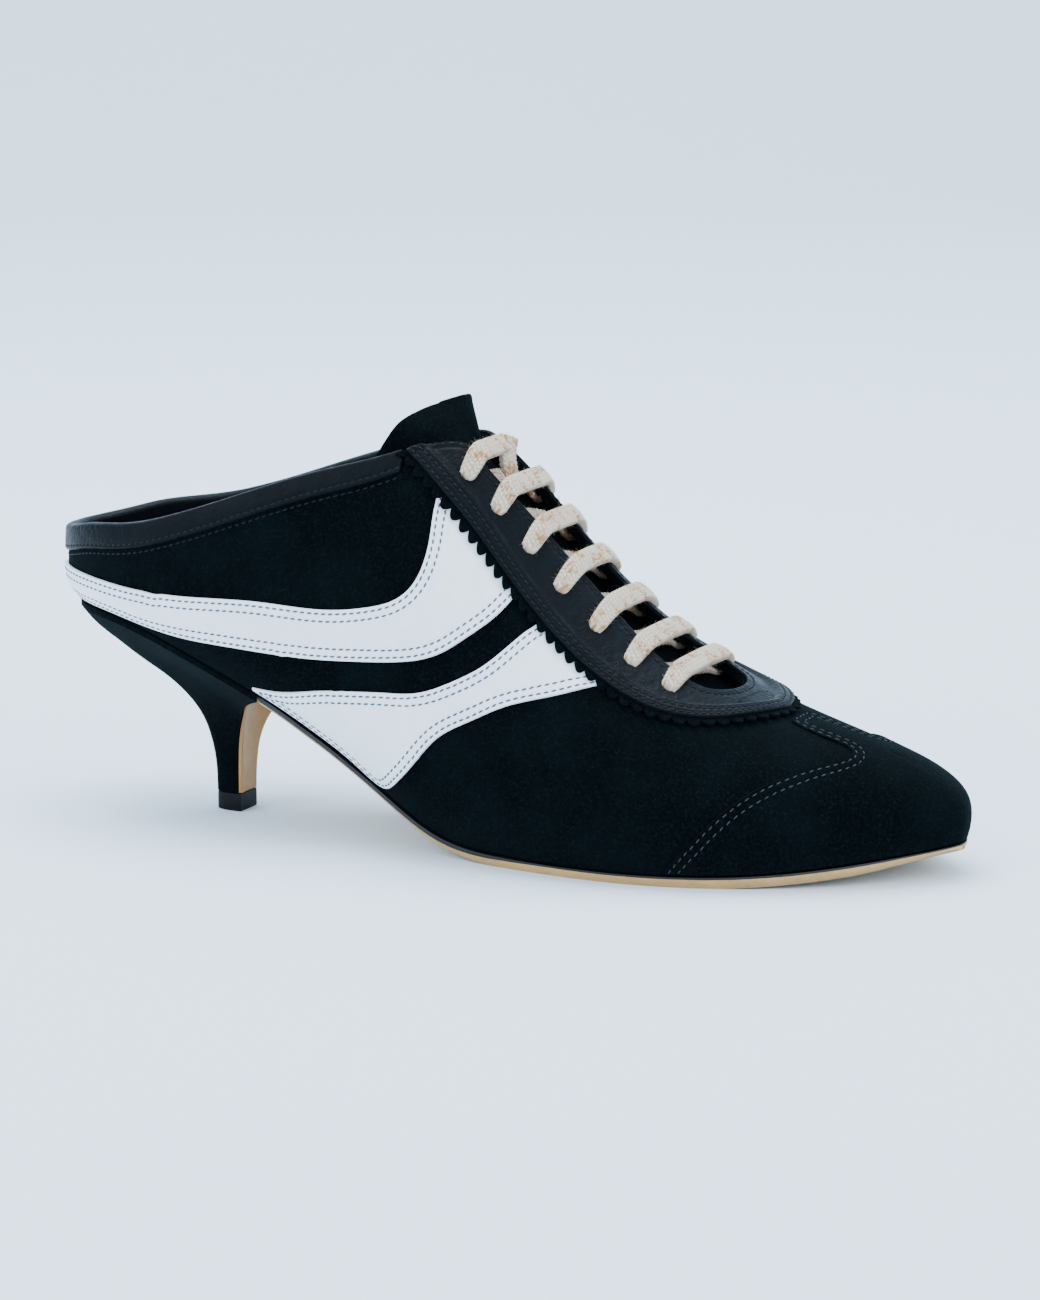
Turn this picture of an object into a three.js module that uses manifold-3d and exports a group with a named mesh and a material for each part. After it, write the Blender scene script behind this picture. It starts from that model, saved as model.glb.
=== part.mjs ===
// Heeled mule, right foot: a lace-up suede upper on a slim curved heel.
// Millimetres. X runs from the heel to the toe, Y from the outer to the inner side, Z up from the floor.
import * as THREE from 'three';
import { mergeVertices } from 'three/addons/utils/BufferGeometryUtils.js';
import Module from 'manifold-3d';

const wasm = await Module();
wasm.setup();

// Sizes of the last
const LAST_LENGTH = 236;
const BALL_WIDTH = 77.5;
const SEAT_HEIGHT = 54;
const INSTEP_HEIGHT = 102;
const TOE_SPRING = 5.4;
const HEEL_ROUND = 24;
const HEEL_ROUND_REACH = 62;
const TOE_ROUND = 17;
const TOE_ROUND_REACH = 45;

// Thicknesses and clearances
const UPPER_WALL = 1.8;
const GAP = 0.3;
const PANEL_CLEARANCE = 0.5;
const LINING_CLEARANCE = 0.8;
const PANEL = 0.9;
const FACING = 0.9;
const TRIM = 0.7;
const BINDING = 0.8;
const BINDING_WIDTH = 5.4;
const BINDING_TURN_IN = 3.6;
const TURN_IN_CLEARANCE = 0.5;
const TONGUE = 1.6;
const INSOLE = 2.4;
const INSOLE_UNDERCUT = 1.6;
const SOLE_FOREFOOT = 3.0;
const SOLE_WAIST = 2.0;
const SOLE_WEAR = 0.35;
const SOLE_MARGIN = 0.5;
const SOLE_BEVEL = 0.9;

// Heel
const TIP_HEIGHT = 4.6;
const TIP_LENGTH = 8.9;
const TIP_WIDTH = 8.8;
const TIP_BACK = 38.4;
const HEEL_RIM = 1.4;
const BREAST_STATION = 0.345;
const BREAST_HOLLOW = 12;
const BREAST_COVER = 1.0;
const BREAST_COVER_MARGIN = 0.1;
const BREAST_COVER_DROP = 4.5;

// Pinked edge, lacing
const PINK_OUT = 1.9;
const PINK_DEPTH = 1.2;
const PINK_PITCH = 3.5;
const PINK_UNDER = 3.4;
const STEP_RUN = 1.6;
const HOLE_DIAMETER = 3.6;
const LACE_WIDTH = 6.2;
const LACE_THICK = 2.6;
const LACE_ARCH = 0.3;
const LACE_REST_SHARE = 0.5;

const OUT = UPPER_WALL + PANEL_CLEARANCE;
const FACING_TOP = OUT + FACING;
const TUCK_SHARE = 0.22;

// Half widths of the last at its widest line, as shares of the ball width.
// share of length, outer side, inner side
const WIDTHS = [
  [0.000, 0.000, 0.000], [0.035, 0.195, 0.195], [0.090, 0.295, 0.295], [0.160, 0.350, 0.350],
  [0.260, 0.372, 0.368], [0.380, 0.390, 0.365], [0.500, 0.430, 0.395], [0.620, 0.480, 0.460],
  [0.700, 0.480, 0.500], [0.780, 0.425, 0.505], [0.860, 0.318, 0.450], [0.930, 0.175, 0.350],
  [0.975, 0.050, 0.235], [1.000, -0.065, 0.065],
];

// Long sections of the last, a row for each station.
// share of length | rise: feather line as a share of the seat height above the ball | spring: its share
// of the toe spring | tuck: width of the feather line against the widest line | bulge: height of the
// widest line over the feather line, share of the instep height | crown: height of the top line, same
// share | lean: sideways place of the top line, share of the ball width | shoulder: roundness exponent
const SECTIONS = [
  [0.000, 1.000, 0.00, 0.870, 0.080, 1.420, 0.000, 2.60],
  [0.090, 0.962, 0.00, 0.850, 0.100, 1.400, 0.000, 2.20],
  [0.200, 0.790, 0.00, 0.820, 0.130, 1.330, 0.010, 1.80],
  [0.300, 0.563, 0.00, 0.780, 0.160, 1.220, 0.020, 1.45],
  [0.400, 0.278, 0.00, 0.780, 0.178, 1.080, 0.030, 1.25],
  [0.480, 0.060, 0.00, 0.820, 0.172, 0.955, 0.035, 1.08],
  [0.560, 0.003, 0.00, 0.870, 0.138, 0.755, 0.035, 0.98],
  [0.640, 0.000, 0.00, 0.900, 0.106, 0.570, 0.035, 0.93],
  [0.720, 0.000, 0.00, 0.920, 0.087, 0.443, 0.035, 0.90],
  [0.800, 0.000, 0.07, 0.930, 0.075, 0.358, 0.035, 0.88],
  [0.880, 0.000, 0.33, 0.940, 0.064, 0.300, 0.040, 0.88],
  [0.930, 0.000, 0.59, 0.945, 0.058, 0.264, 0.045, 0.88],
  [1.000, 0.000, 1.00, 0.950, 0.050, 0.217, 0.050, 0.88],
];

// Places on the last are (station, girth): station 0 is the back of the heel and 1 the tip of the
// toe, girth 0 is the feather line and 1 the top line.
// Top edge of the upper round the heel: station, girth
const TOPLINE = [
  [0.000, 0.270], [0.060, 0.272], [0.120, 0.280], [0.149, 0.287], [0.209, 0.302], [0.239, 0.318],
  [0.267, 0.342], [0.307, 0.389], [0.356, 0.470], [0.401, 0.573], [0.441, 0.699], [0.459, 0.778],
  [0.478, 0.866],
];

// The facing, from its top corner down to the tip in front: outer station and girth, throat
// station and girth
const FACING_ROWS = [
  [0.4460, 0.718, 0.4780, 0.866], [0.4580, 0.712, 0.4860, 0.864], [0.4740, 0.700, 0.4970, 0.858],
  [0.4960, 0.688, 0.5110, 0.868], [0.5210, 0.674, 0.5280, 0.884], [0.5490, 0.661, 0.5510, 0.902],
  [0.5740, 0.653, 0.5730, 0.909], [0.5990, 0.649, 0.5950, 0.897], [0.6240, 0.652, 0.6190, 0.875],
  [0.6460, 0.669, 0.6400, 0.864], [0.6680, 0.711, 0.6550, 0.868], [0.6870, 0.778, 0.6645, 0.892],
  [0.7000, 0.848, 0.6700, 0.926], [0.7100, 0.922, 0.6735, 0.963], [0.7160, 1.000, 0.6745, 1.000],
];

// Lace holes of one side: station, girth
const HOLES = [
  [0.487, 0.787], [0.509, 0.789], [0.532, 0.790], [0.556, 0.788], [0.583, 0.786], [0.611, 0.780],
  [0.640, 0.782],
];

// Upper white stripe, from the back of the heel forward: lower station and girth, upper ones
const STRIPE_UPPER = [
  [0.000, 0.020, 0.000, 0.214], [0.060, 0.020, 0.055, 0.213], [0.120, 0.020, 0.110, 0.207],
  [0.180, 0.022, 0.165, 0.196], [0.228, 0.035, 0.222, 0.201], [0.287, 0.098, 0.290, 0.237],
  [0.341, 0.172, 0.352, 0.281], [0.389, 0.234, 0.404, 0.333], [0.431, 0.291, 0.441, 0.398],
  [0.467, 0.354, 0.463, 0.458], [0.494, 0.418, 0.473, 0.516], [0.512, 0.489, 0.476, 0.577],
  [0.526, 0.566, 0.475, 0.628],
];
const STRIPE_UPPER_MEETS = [0.325, 0.135];

// Lower white stripe of each side: lower station and girth, upper ones
const STRIPE_LOWER = [
  [0.343, 0.020, 0.343, 0.034], [0.370, 0.020, 0.370, 0.096], [0.398, 0.020, 0.402, 0.182],
  [0.424, 0.020, 0.430, 0.240], [0.447, 0.022, 0.455, 0.282], [0.464, 0.105, 0.477, 0.320],
  [0.478, 0.195, 0.496, 0.364], [0.497, 0.280, 0.511, 0.408], [0.520, 0.345, 0.524, 0.456],
  [0.547, 0.430, 0.535, 0.514], [0.574, 0.520, 0.543, 0.570],
];
const STRIPE_LOWER_MEETS = [0.515, 0.372];

// Rear edge of the toe cap, up the side to the wing point and back along the top: girth, station
const CAP_EDGE = [
  [0.020, 0.661], [0.070, 0.666], [0.140, 0.674], [0.230, 0.685], [0.360, 0.705], [0.490, 0.729],
  [0.620, 0.760], [0.685, 0.778], [0.750, 0.795], [0.815, 0.804], [0.865, 0.799], [0.888, 0.784],
  [0.902, 0.758], [0.918, 0.738],
];

// Tongue, from its front end under the vamp to its free top: middle station, set back of its
// sides, girth that its sides reach
const TONGUE_ROWS = [
  [0.705, 0.000, 0.800], [0.670, 0.000, 0.770], [0.630, 0.000, 0.740], [0.590, 0.000, 0.720],
  [0.550, 0.001, 0.700], [0.512, 0.003, 0.672], [0.484, 0.010, 0.645], [0.464, 0.022, 0.620],
  [0.450, 0.032, 0.610],
];

// Side lines of the heel between its tip and its seat.
// share of height, flare of the back, of the sides and of the breast, as shares of the full flare
const HEEL_LINES = [
  [0.00, 0.000, 0.000, 0.000], [0.18, 0.013, 0.010, 0.010], [0.31, 0.051, 0.040, 0.030],
  [0.43, 0.120, 0.090, 0.060], [0.53, 0.228, 0.165, 0.100], [0.63, 0.389, 0.270, 0.160],
  [0.72, 0.578, 0.400, 0.240], [0.81, 0.744, 0.560, 0.380], [0.90, 0.895, 0.760, 0.620],
  [1.00, 1.000, 1.000, 1.000],
];

// Curves through tables

// Natural cubic through the points (xs, ys).
function spline(xs, ys) {
  const n = xs.length;
  const bend = new Array(n).fill(0);
  const work = new Array(n).fill(0);
  for (let i = 1; i < n - 1; i++) {
    const left = (xs[i] - xs[i - 1]) / (xs[i + 1] - xs[i - 1]);
    const pivot = left * bend[i - 1] + 2;
    const step = (ys[i + 1] - ys[i]) / (xs[i + 1] - xs[i]) - (ys[i] - ys[i - 1]) / (xs[i] - xs[i - 1]);
    bend[i] = (left - 1) / pivot;
    work[i] = (6 * step / (xs[i + 1] - xs[i - 1]) - left * work[i - 1]) / pivot;
  }
  for (let i = n - 2; i >= 0; i--) bend[i] = bend[i] * bend[i + 1] + work[i];
  return (x) => {
    let k = 0;
    while (k < n - 2 && x > xs[k + 1]) k++;
    const h = xs[k + 1] - xs[k];
    const a = (xs[k + 1] - x) / h;
    const b = (x - xs[k]) / h;
    const cubic = ((a ** 3 - a) * bend[k] + (b ** 3 - b) * bend[k + 1]) * h * h / 6;
    return a * ys[k] + b * ys[k + 1] + cubic;
  };
}

const column = (table, i) => table.map((row) => row[i]);
const lerp = THREE.MathUtils.lerp;
const clamp = THREE.MathUtils.clamp;
const smooth = THREE.MathUtils.smoothstep;
const stationOf = (share) => Math.acos(1 - 2 * share) / Math.PI;
const shareOf = (station) => (1 - Math.cos(Math.PI * station)) / 2;

// One curve for each column of a table whose rows are evenly spaced from 0 to 1.
function rowCurves(table) {
  const marks = table.map((row, i) => i / (table.length - 1));
  return table[0].map((_, i) => spline(marks, column(table, i)));
}

// The last

const widthStations = column(WIDTHS, 0).map(stationOf);
const outerWidth = spline(widthStations, column(WIDTHS, 1));
const innerWidth = spline(widthStations, column(WIDTHS, 2));
const [rise, spring, tuckOf, bulgeOf, crownOf, leanOf, shoulderOf] = [1, 2, 3, 4, 5, 6, 7].map(
  (i) => spline(column(SECTIONS, 0), column(SECTIONS, i)));
const BALL_REST = SOLE_FOREFOOT - SOLE_WEAR + GAP + 0.55 * UPPER_WALL;
const toplineOf = spline(column(TOPLINE, 0), column(TOPLINE, 1));

// Height of the feather line at a share of the length.
function featherHeight(share) {
  return BALL_REST + (SEAT_HEIGHT - BALL_REST) * rise(share) + TOE_SPRING * spring(share);
}

// Point of the last's surface; side is -1 for the outer side and 1 for the inner one.
function lastPoint(station, girth, side) {
  const share = shareOf(station);
  const xEdge = LAST_LENGTH * share;
  const heelPull = HEEL_ROUND * clamp(1 - xEdge / HEEL_ROUND_REACH, 0, 1) ** 2;
  const toeReach = (xEdge - (LAST_LENGTH - TOE_ROUND_REACH)) / TOE_ROUND_REACH;
  const xTop = xEdge + heelPull - TOE_ROUND * clamp(toeReach, 0, 1) ** 2;
  const topShare = xTop / LAST_LENGTH;
  const bulge = INSTEP_HEIGHT * bulgeOf(share);
  const zWide = featherHeight(share) + bulge;
  const zTop = INSTEP_HEIGHT * crownOf(topShare);
  const yTop = BALL_WIDTH * leanOf(topShare);
  const yWide = side * BALL_WIDTH * (side < 0 ? outerWidth(station) : innerWidth(station));
  let reach = 1;
  let z = zWide;
  if (girth < TUCK_SHARE) {
    const full = Math.acos(tuckOf(share));
    const turn = (1 - girth / TUCK_SHARE) * full;
    reach = Math.cos(turn);
    z = zWide - bulge * Math.sin(turn) / Math.sin(full);
  } else {
    const turn = (girth - TUCK_SHARE) / (1 - TUCK_SHARE) * Math.PI / 2;
    reach = Math.max(Math.cos(turn), 0) ** shoulderOf(topShare);
    z = lerp(zWide, zTop, Math.sin(turn));
    if (toeReach > 0) z += topSlope(topShare) * (xEdge - xTop) * reach * Math.sin(turn) ** 2;
  }
  return new THREE.Vector3(lerp(xTop, xEdge, reach), lerp(yTop, yWide, reach), z);
}

// Slope of the top line along the shoe.
function topSlope(share) {
  const step = 0.001;
  return INSTEP_HEIGHT * (crownOf(share + step) - crownOf(share - step)) / (2 * step * LAST_LENGTH);
}

// Outward direction of the last's surface.
function normalAt(station, girth, side) {
  const step = 0.001;
  if (girth > 1 - step) {
    const top = lastPoint(station, 1, side);
    return new THREE.Vector3(-topSlope(top.x / LAST_LENGTH), 0, 1).normalize();
  }
  const before = Math.max(station - step, 0);
  const after = Math.min(station + step, 1);
  const along = lastPoint(after, girth, side).sub(lastPoint(before, girth, side));
  const low = Math.max(girth - step, 0);
  const round = lastPoint(station, Math.min(girth + step, 1), side).sub(lastPoint(station, low, side));
  return along.cross(round).multiplyScalar(-side).normalize();
}

// Point at a distance outside the last. The centre lines are worked out from one side only, so
// that the two sides share them.
function skin(station, girth, side, off) {
  const shared = station <= 0 || station >= 1 || girth >= 1;
  const from = shared ? -1 : side;
  const point = lastPoint(station, girth, from);
  return point.addScaledVector(normalAt(station, girth, from), off);
}

// Girth that lies a distance further up the surface.
function girthUp(station, girth, side, distance) {
  const step = 0.004;
  const high = Math.min(girth + step, 1);
  const length = lastPoint(station, high, side).distanceTo(lastPoint(station, high - 2 * step, side));
  return girth + distance * 2 * step / length;
}

// Closed bodies

// Geometry with shared corners from loose triangles; its faces are turned outwards.
function body(corners) {
  const positions = corners.flatMap((p) => [p.x, p.y, p.z]);
  const loose = new THREE.BufferGeometry();
  loose.setAttribute('position', new THREE.Float32BufferAttribute(positions, 3));
  const merged = mergeVertices(loose, 1e-3);
  const index = merged.index.array;
  const kept = [];
  for (let i = 0; i < index.length; i += 3) {
    const [a, b, c] = [index[i], index[i + 1], index[i + 2]];
    if (a !== b && b !== c && c !== a) kept.push(a, b, c);
  }
  merged.setIndex(kept);
  if (volume(merged) < 0) {
    for (let i = 0; i < kept.length; i += 3) [kept[i + 1], kept[i + 2]] = [kept[i + 2], kept[i + 1]];
    merged.setIndex(kept);
  }
  return merged;
}

function volume(geometry) {
  const at = geometry.getAttribute('position');
  const index = geometry.index.array;
  const [a, b, c] = [new THREE.Vector3(), new THREE.Vector3(), new THREE.Vector3()];
  let sum = 0;
  for (let i = 0; i < index.length; i += 3) {
    a.fromBufferAttribute(at, index[i]);
    b.fromBufferAttribute(at, index[i + 1]);
    c.fromBufferAttribute(at, index[i + 2]);
    sum += a.dot(b.cross(c)) / 6;
  }
  return sum;
}

function quad(out, a, b, c, d) {
  out.push(a, b, c, a, c, d);
}

// Corners of a walled sheet between two grids of points. The rims named in edges are closed:
// first and last for the ends of the rows, low and high for the rows' own first and last points.
function wall(outer, inner, edges) {
  const out = [];
  const last = outer.length - 1;
  for (let i = 0; i < last; i++) {
    const top = outer[i].length - 1;
    for (let j = 0; j < top; j++) {
      quad(out, outer[i][j], outer[i + 1][j], outer[i + 1][j + 1], outer[i][j + 1]);
      quad(out, inner[i][j], inner[i][j + 1], inner[i + 1][j + 1], inner[i + 1][j]);
    }
    if (edges.low) quad(out, outer[i][0], inner[i][0], inner[i + 1][0], outer[i + 1][0]);
    if (edges.high && edges.high(i)) {
      quad(out, outer[i][top], outer[i + 1][top], inner[i + 1][top], inner[i][top]);
    }
  }
  for (let j = 0; j < outer[0].length - 1; j++) {
    if (edges.first) quad(out, outer[0][j], outer[0][j + 1], inner[0][j + 1], inner[0][j]);
    if (edges.last) quad(out, outer[last][j], inner[last][j], inner[last][j + 1], outer[last][j + 1]);
  }
  return out;
}

const ALL_EDGES = { low: true, high: () => true, first: true, last: true };

// Closed tube through rings of equal count, with its two ends closed.
function tube(rings) {
  const out = [];
  const count = rings[0].length;
  for (let i = 0; i < rings.length - 1; i++) {
    for (let j = 0; j < count; j++) {
      const next = (j + 1) % count;
      quad(out, rings[i][j], rings[i][next], rings[i + 1][next], rings[i + 1][j]);
    }
  }
  for (let j = 1; j < count - 1; j++) {
    out.push(rings[0][0], rings[0][j + 1], rings[0][j]);
    const end = rings[rings.length - 1];
    out.push(end[0], end[j], end[j + 1]);
  }
  return body(out);
}

function toSolid(geometry) {
  const vertProperties = new Float32Array(geometry.getAttribute('position').array);
  const triVerts = new Uint32Array(geometry.index.array);
  return new wasm.Manifold(new wasm.Mesh({ numProp: 3, vertProperties, triVerts }));
}

function fromSolid(solid) {
  const mesh = solid.getMesh();
  const geometry = new THREE.BufferGeometry();
  geometry.setAttribute('position', new THREE.BufferAttribute(mesh.vertProperties, 3));
  geometry.setIndex(new THREE.BufferAttribute(mesh.triVerts, 1));
  return geometry;
}

// Count of even steps from 0 to 1, both included.
const steps = (count) => Array.from({ length: count + 1 }, (_, i) => i / count);

// Stations shared by the upper, the insole and the sole

const facing = rowCurves(FACING_ROWS);
const throatMarks = steps(10).map((t) => t ** 0.85);
const throatStations = throatMarks.map((t) => facing[2](t));
const THROAT_END = FACING_ROWS[FACING_ROWS.length - 1][2];
const BINDING_END = FACING_ROWS[0][0] - 0.006;
const REAR_STATIONS = [
  0, 0.025, 0.05, 0.075, 0.1, 0.13, 0.165, 0.2, 0.24, 0.28, 0.3125, BREAST_STATION, 0.38, 0.412,
  BINDING_END, 0.46,
];
const FRONT_STATIONS = [
  0.7, 0.73, 0.76, 0.79, 0.82, 0.849, 0.877, 0.904, 0.93, 0.955, 0.978, 1,
];
const STATIONS = [...REAR_STATIONS, ...throatStations, ...FRONT_STATIONS];
const GIRTH_SHARES = [0, 0.07, 0.14, 0.23, 0.36, 0.49, 0.62, 0.75, 0.88, 1];

// Girth of the upper's free edge at its own stations; 1 where the two sides are closed on top.
function edgeGirth(index) {
  const rear = REAR_STATIONS.length;
  if (index < rear) return toplineOf(STATIONS[index]);
  if (index < rear + throatStations.length) return Math.min(facing[3](throatMarks[index - rear]), 1);
  return 1;
}

// Lowest point of the upper's wall on both sides of a station, and the plan outline there.
function featherEdge(station, side) {
  return skin(station, 0, side, UPPER_WALL);
}

const bedRows = STATIONS.map((station) => {
  const outer = featherEdge(station, -1);
  const inner = featherEdge(station, 1);
  return { x: (outer.x + inner.x) / 2, z: Math.min(outer.z, inner.z) - GAP };
});

// Height of the bed that the sole and the heel offer to the upper, at a place along the shoe.
function bedHeight(x) {
  let k = 0;
  while (k < bedRows.length - 2 && x > bedRows[k + 1].x) k++;
  const t = clamp((x - bedRows[k].x) / (bedRows[k + 1].x - bedRows[k].x), 0, 1);
  return lerp(bedRows[k].z, bedRows[k + 1].z, t);
}

// Edge of the sole and of the heel seat in plan, at the bed's height.
function bedEdge(station, side) {
  const outside = skin(station, 0, side, UPPER_WALL);
  const flat = normalAt(station, 0, station <= 0 || station >= 1 ? -1 : side);
  flat.z = 0;
  outside.addScaledVector(flat.normalize(), SOLE_MARGIN);
  outside.z = bedHeight(outside.x);
  return outside;
}

// Upper

const holeCutters = HOLES.flatMap(([station, girth]) => [-1, 1].map((side) => {
  const reach = FACING_TOP + 3;
  const cutter = new THREE.CylinderGeometry(HOLE_DIAMETER / 2, HOLE_DIAMETER / 2, reach + 3, 6);
  const normal = normalAt(station, girth, side);
  cutter.applyQuaternion(new THREE.Quaternion().setFromUnitVectors(new THREE.Vector3(0, 1, 0), normal));
  const middle = skin(station, girth, side, (reach - 3) / 2);
  cutter.translate(middle.x, middle.y, middle.z);
  cutter.deleteAttribute('normal');
  cutter.deleteAttribute('uv');
  return toSolid(mergeVertices(cutter));
}));

function punch(geometry) {
  let solid = toSolid(geometry);
  for (const cutter of holeCutters) solid = solid.subtract(cutter);
  return fromSolid(solid);
}

function upper() {
  const grid = (side, off) => STATIONS.map((station, i) => GIRTH_SHARES.map(
    (share) => skin(station, share * edgeGirth(i), side, off)));
  const open = (i) => STATIONS[i] < THROAT_END - 1e-6;
  const corners = [];
  for (const side of [-1, 1]) {
    const outer = grid(side, UPPER_WALL);
    const inner = grid(side, 0);
    const sheet = side < 0 ? [outer, inner] : [inner, outer];
    corners.push(...wall(sheet[0], sheet[1], { low: true, high: open }));
  }
  return punch(body(corners));
}

// Places on the facing: t runs down it from 0 to 1, distance is measured inwards from its outer edge.
function facingPlace(t, side, distance) {
  const [us, qs, ut, qt] = facing.map((curve) => curve(t));
  const outer = lastPoint(us, Math.min(qs, 1), side);
  const width = outer.distanceTo(lastPoint(ut, Math.min(qt, 1), side));
  const share = distance / width;
  const girth = t >= 1 ? 1 : Math.min(lerp(qs, qt, share), 1);
  return [lerp(us, ut, share), girth];
}

function facingWidth(t, side) {
  const [us, qs, ut, qt] = facing.map((curve) => curve(t));
  return lastPoint(us, Math.min(qs, 1), side).distanceTo(lastPoint(ut, Math.min(qt, 1), side));
}

// Steps down the outer side, round the tip and up the inner side.
function roundTip(marks) {
  const down = marks.map((t) => ({ t, side: -1 }));
  const up = marks.slice(0, -1).reverse().map((t) => ({ t, side: 1 }));
  return [...down, ...up];
}

function eyestay() {
  const raised = OUT + TRIM + GAP;
  const rows = roundTip(steps(17)).map(({ t, side }) => {
    const width = facingWidth(t, side);
    const stepIn = Math.min(PINK_UNDER + GAP, width * 0.4);
    const stepOut = Math.min(stepIn + STEP_RUN, width * 0.6);
    const marks = [0, stepIn, stepOut, (stepOut + width) / 2, width];
    return marks.map((distance) => {
      const [station, girth] = facingPlace(t, side, distance);
      const off = distance <= stepIn ? raised : OUT;
      return [skin(station, girth, side, off + FACING), skin(station, girth, side, off)];
    });
  });
  const outer = rows.map((row) => row.map((pair) => pair[0]));
  const inner = rows.map((row) => row.map((pair) => pair[1]));
  return punch(body(wall(outer, inner, ALL_EDGES)));
}

// Strip with a toothed outer edge that shows under the facing.
function pinkedTrim() {
  let length = 0;
  const trace = steps(60).map((t) => lastPoint(...facingPlace(t, -1, 0), -1));
  for (let i = 1; i < trace.length; i++) length += trace[i].distanceTo(trace[i - 1]);
  const teeth = Math.round(length / PINK_PITCH);
  const markAt = (distance) => {
    let run = 0;
    for (let i = 1; i < trace.length; i++) {
      const piece = trace[i].distanceTo(trace[i - 1]);
      if (run + piece >= distance) return (i - 1 + (distance - run) / piece) / 60;
      run += piece;
    }
    return 1;
  };
  const marks = steps(2 * teeth).map((share) => markAt(share * length));
  const rows = roundTip(marks).map(({ t, side }, i) => {
    const out = i % 2 === 0 ? PINK_OUT : PINK_OUT - PINK_DEPTH;
    const inward = Math.min(PINK_UNDER, facingWidth(t, side) * 0.35);
    return [-out, inward].map((distance) => facingPlace(t, side, distance)).map(
      ([station, girth]) => [skin(station, girth, side, OUT + TRIM), skin(station, girth, side, OUT)]);
  });
  const outer = rows.map((row) => row.map((pair) => pair[0]));
  const inner = rows.map((row) => row.map((pair) => pair[1]));
  return body(wall(outer, inner, ALL_EDGES));
}

// Last pair of stripe points, just clear of the pinked edge of the facing.
function stripeEnd([lowMark, highMark]) {
  const clear = -(PINK_OUT + 3 * GAP);
  return [...facingPlace(lowMark, -1, clear), ...facingPlace(highMark, -1, clear)];
}

function stripeRows(curves, marks, side, count) {
  return marks.map((t) => {
    const [us, qs, ut, qt] = curves.map((curve) => curve(t));
    return steps(count).map((r) => [lerp(us, ut, r), lerp(qs, qt, r)]).map(
      ([station, girth]) => ({ station: t <= 0 && us <= 0 ? 0 : station, girth, side }));
  });
}

function sheetFrom(rows, low, high) {
  const at = (off) => rows.map((row) => row.map((p) => skin(p.station, p.girth, p.side, off)));
  return body(wall(at(high), at(low), ALL_EDGES));
}

function stripeUpper() {
  const curves = rowCurves([...STRIPE_UPPER, stripeEnd(STRIPE_UPPER_MEETS)]);
  const marks = steps(19);
  const outerSide = stripeRows(curves, [...marks].reverse(), -1, 4);
  const innerSide = stripeRows(curves, marks.slice(1), 1, 4);
  return sheetFrom([...outerSide, ...innerSide], OUT, OUT + PANEL);
}

function stripeLower(side) {
  const curves = rowCurves([...STRIPE_LOWER, stripeEnd(STRIPE_LOWER_MEETS)]);
  return sheetFrom(stripeRows(curves, steps(17), side, 5), OUT, OUT + PANEL);
}

function toeCap() {
  const tip = FACING_ROWS[FACING_ROWS.length - 1][0];
  const ahead = lastPoint(tip + 0.01, 1, -1).distanceTo(lastPoint(tip, 1, -1)) / 0.01;
  const centre = tip + (PINK_OUT + 2 * GAP) / ahead;
  const edge = [...CAP_EDGE, [0.945, centre + 0.001], [1, centre]];
  const girthRows = [
    ...edge.map(([girth, station]) => ({ girth, station, side: -1 })),
    ...edge.slice(0, -1).reverse().map(([girth, station]) => ({ girth, station, side: 1 })),
  ];
  const rows = girthRows.map(({ girth, station, side }) => steps(9).map((k) => (
    { station: k >= 1 ? 1 : lerp(station, 1, k ** 0.9), girth, side })));
  const at = (off) => rows.map((row) => row.map((p) => skin(p.station, p.girth, p.side, off)));
  return body(wall(at(OUT + PANEL), at(OUT), { first: true, last: true, low: true }));
}

// Folded strip over the top edge, from one facing round the heel to the other.
function toplineBinding() {
  const marks = REAR_STATIONS.filter((station) => station <= BINDING_END);
  const run = [...[...marks].reverse().map((station) => ({ station, side: -1 })),
    ...marks.slice(1).map((station) => ({ station, side: 1 }))];
  const rows = run.map(({ station, side }) => {
    const top = toplineOf(station);
    const low = girthUp(station, top, side, -BINDING_WIDTH);
    const middle = (low + top) / 2;
    const inside = girthUp(station, top, side, -BINDING_TURN_IN);
    const clear = girthUp(station, top, side, 1.5 * GAP);
    const over = girthUp(station, top, side, 1.5 * GAP + BINDING);
    const hidden = -TURN_IN_CLEARANCE;
    const at = (path) => path.map(([girth, off]) => skin(station, girth, side, off));
    return {
      outer: at([[low, OUT + BINDING], [middle, OUT + BINDING], [over, OUT + BINDING * 0.6],
        [over, hidden - BINDING * 0.6], [inside, hidden - BINDING]]),
      inner: at([[low, OUT], [middle, OUT], [clear, OUT], [clear, hidden], [inside, hidden]]),
    };
  });
  return body(wall(rows.map((row) => row.outer), rows.map((row) => row.inner), ALL_EDGES));
}

function tongue() {
  const [middle, setBack, sides] = rowCurves(TONGUE_ROWS);
  const across = steps(8).map((k) => 2 * k - 1);
  const underBinding = 2 * GAP + TURN_IN_CLEARANCE + BINDING;
  const rows = steps(11).map((t) => across.map((k) => {
    const girth = 1 - Math.abs(k) * (1 - sides(t));
    const station = middle(t) - setBack(t) * Math.abs(k) ** 1.4;
    const depth = lerp(LINING_CLEARANCE, underBinding, smooth(t, 0.5, 0.75));
    return { station, girth, side: k < 0 ? -1 : 1, depth };
  }));
  const at = (extra) => rows.map((row) => row.map(
    (p) => skin(p.station, p.girth, p.side, -p.depth - extra)));
  return body(wall(at(0), at(TONGUE), ALL_EDGES));
}

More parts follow.
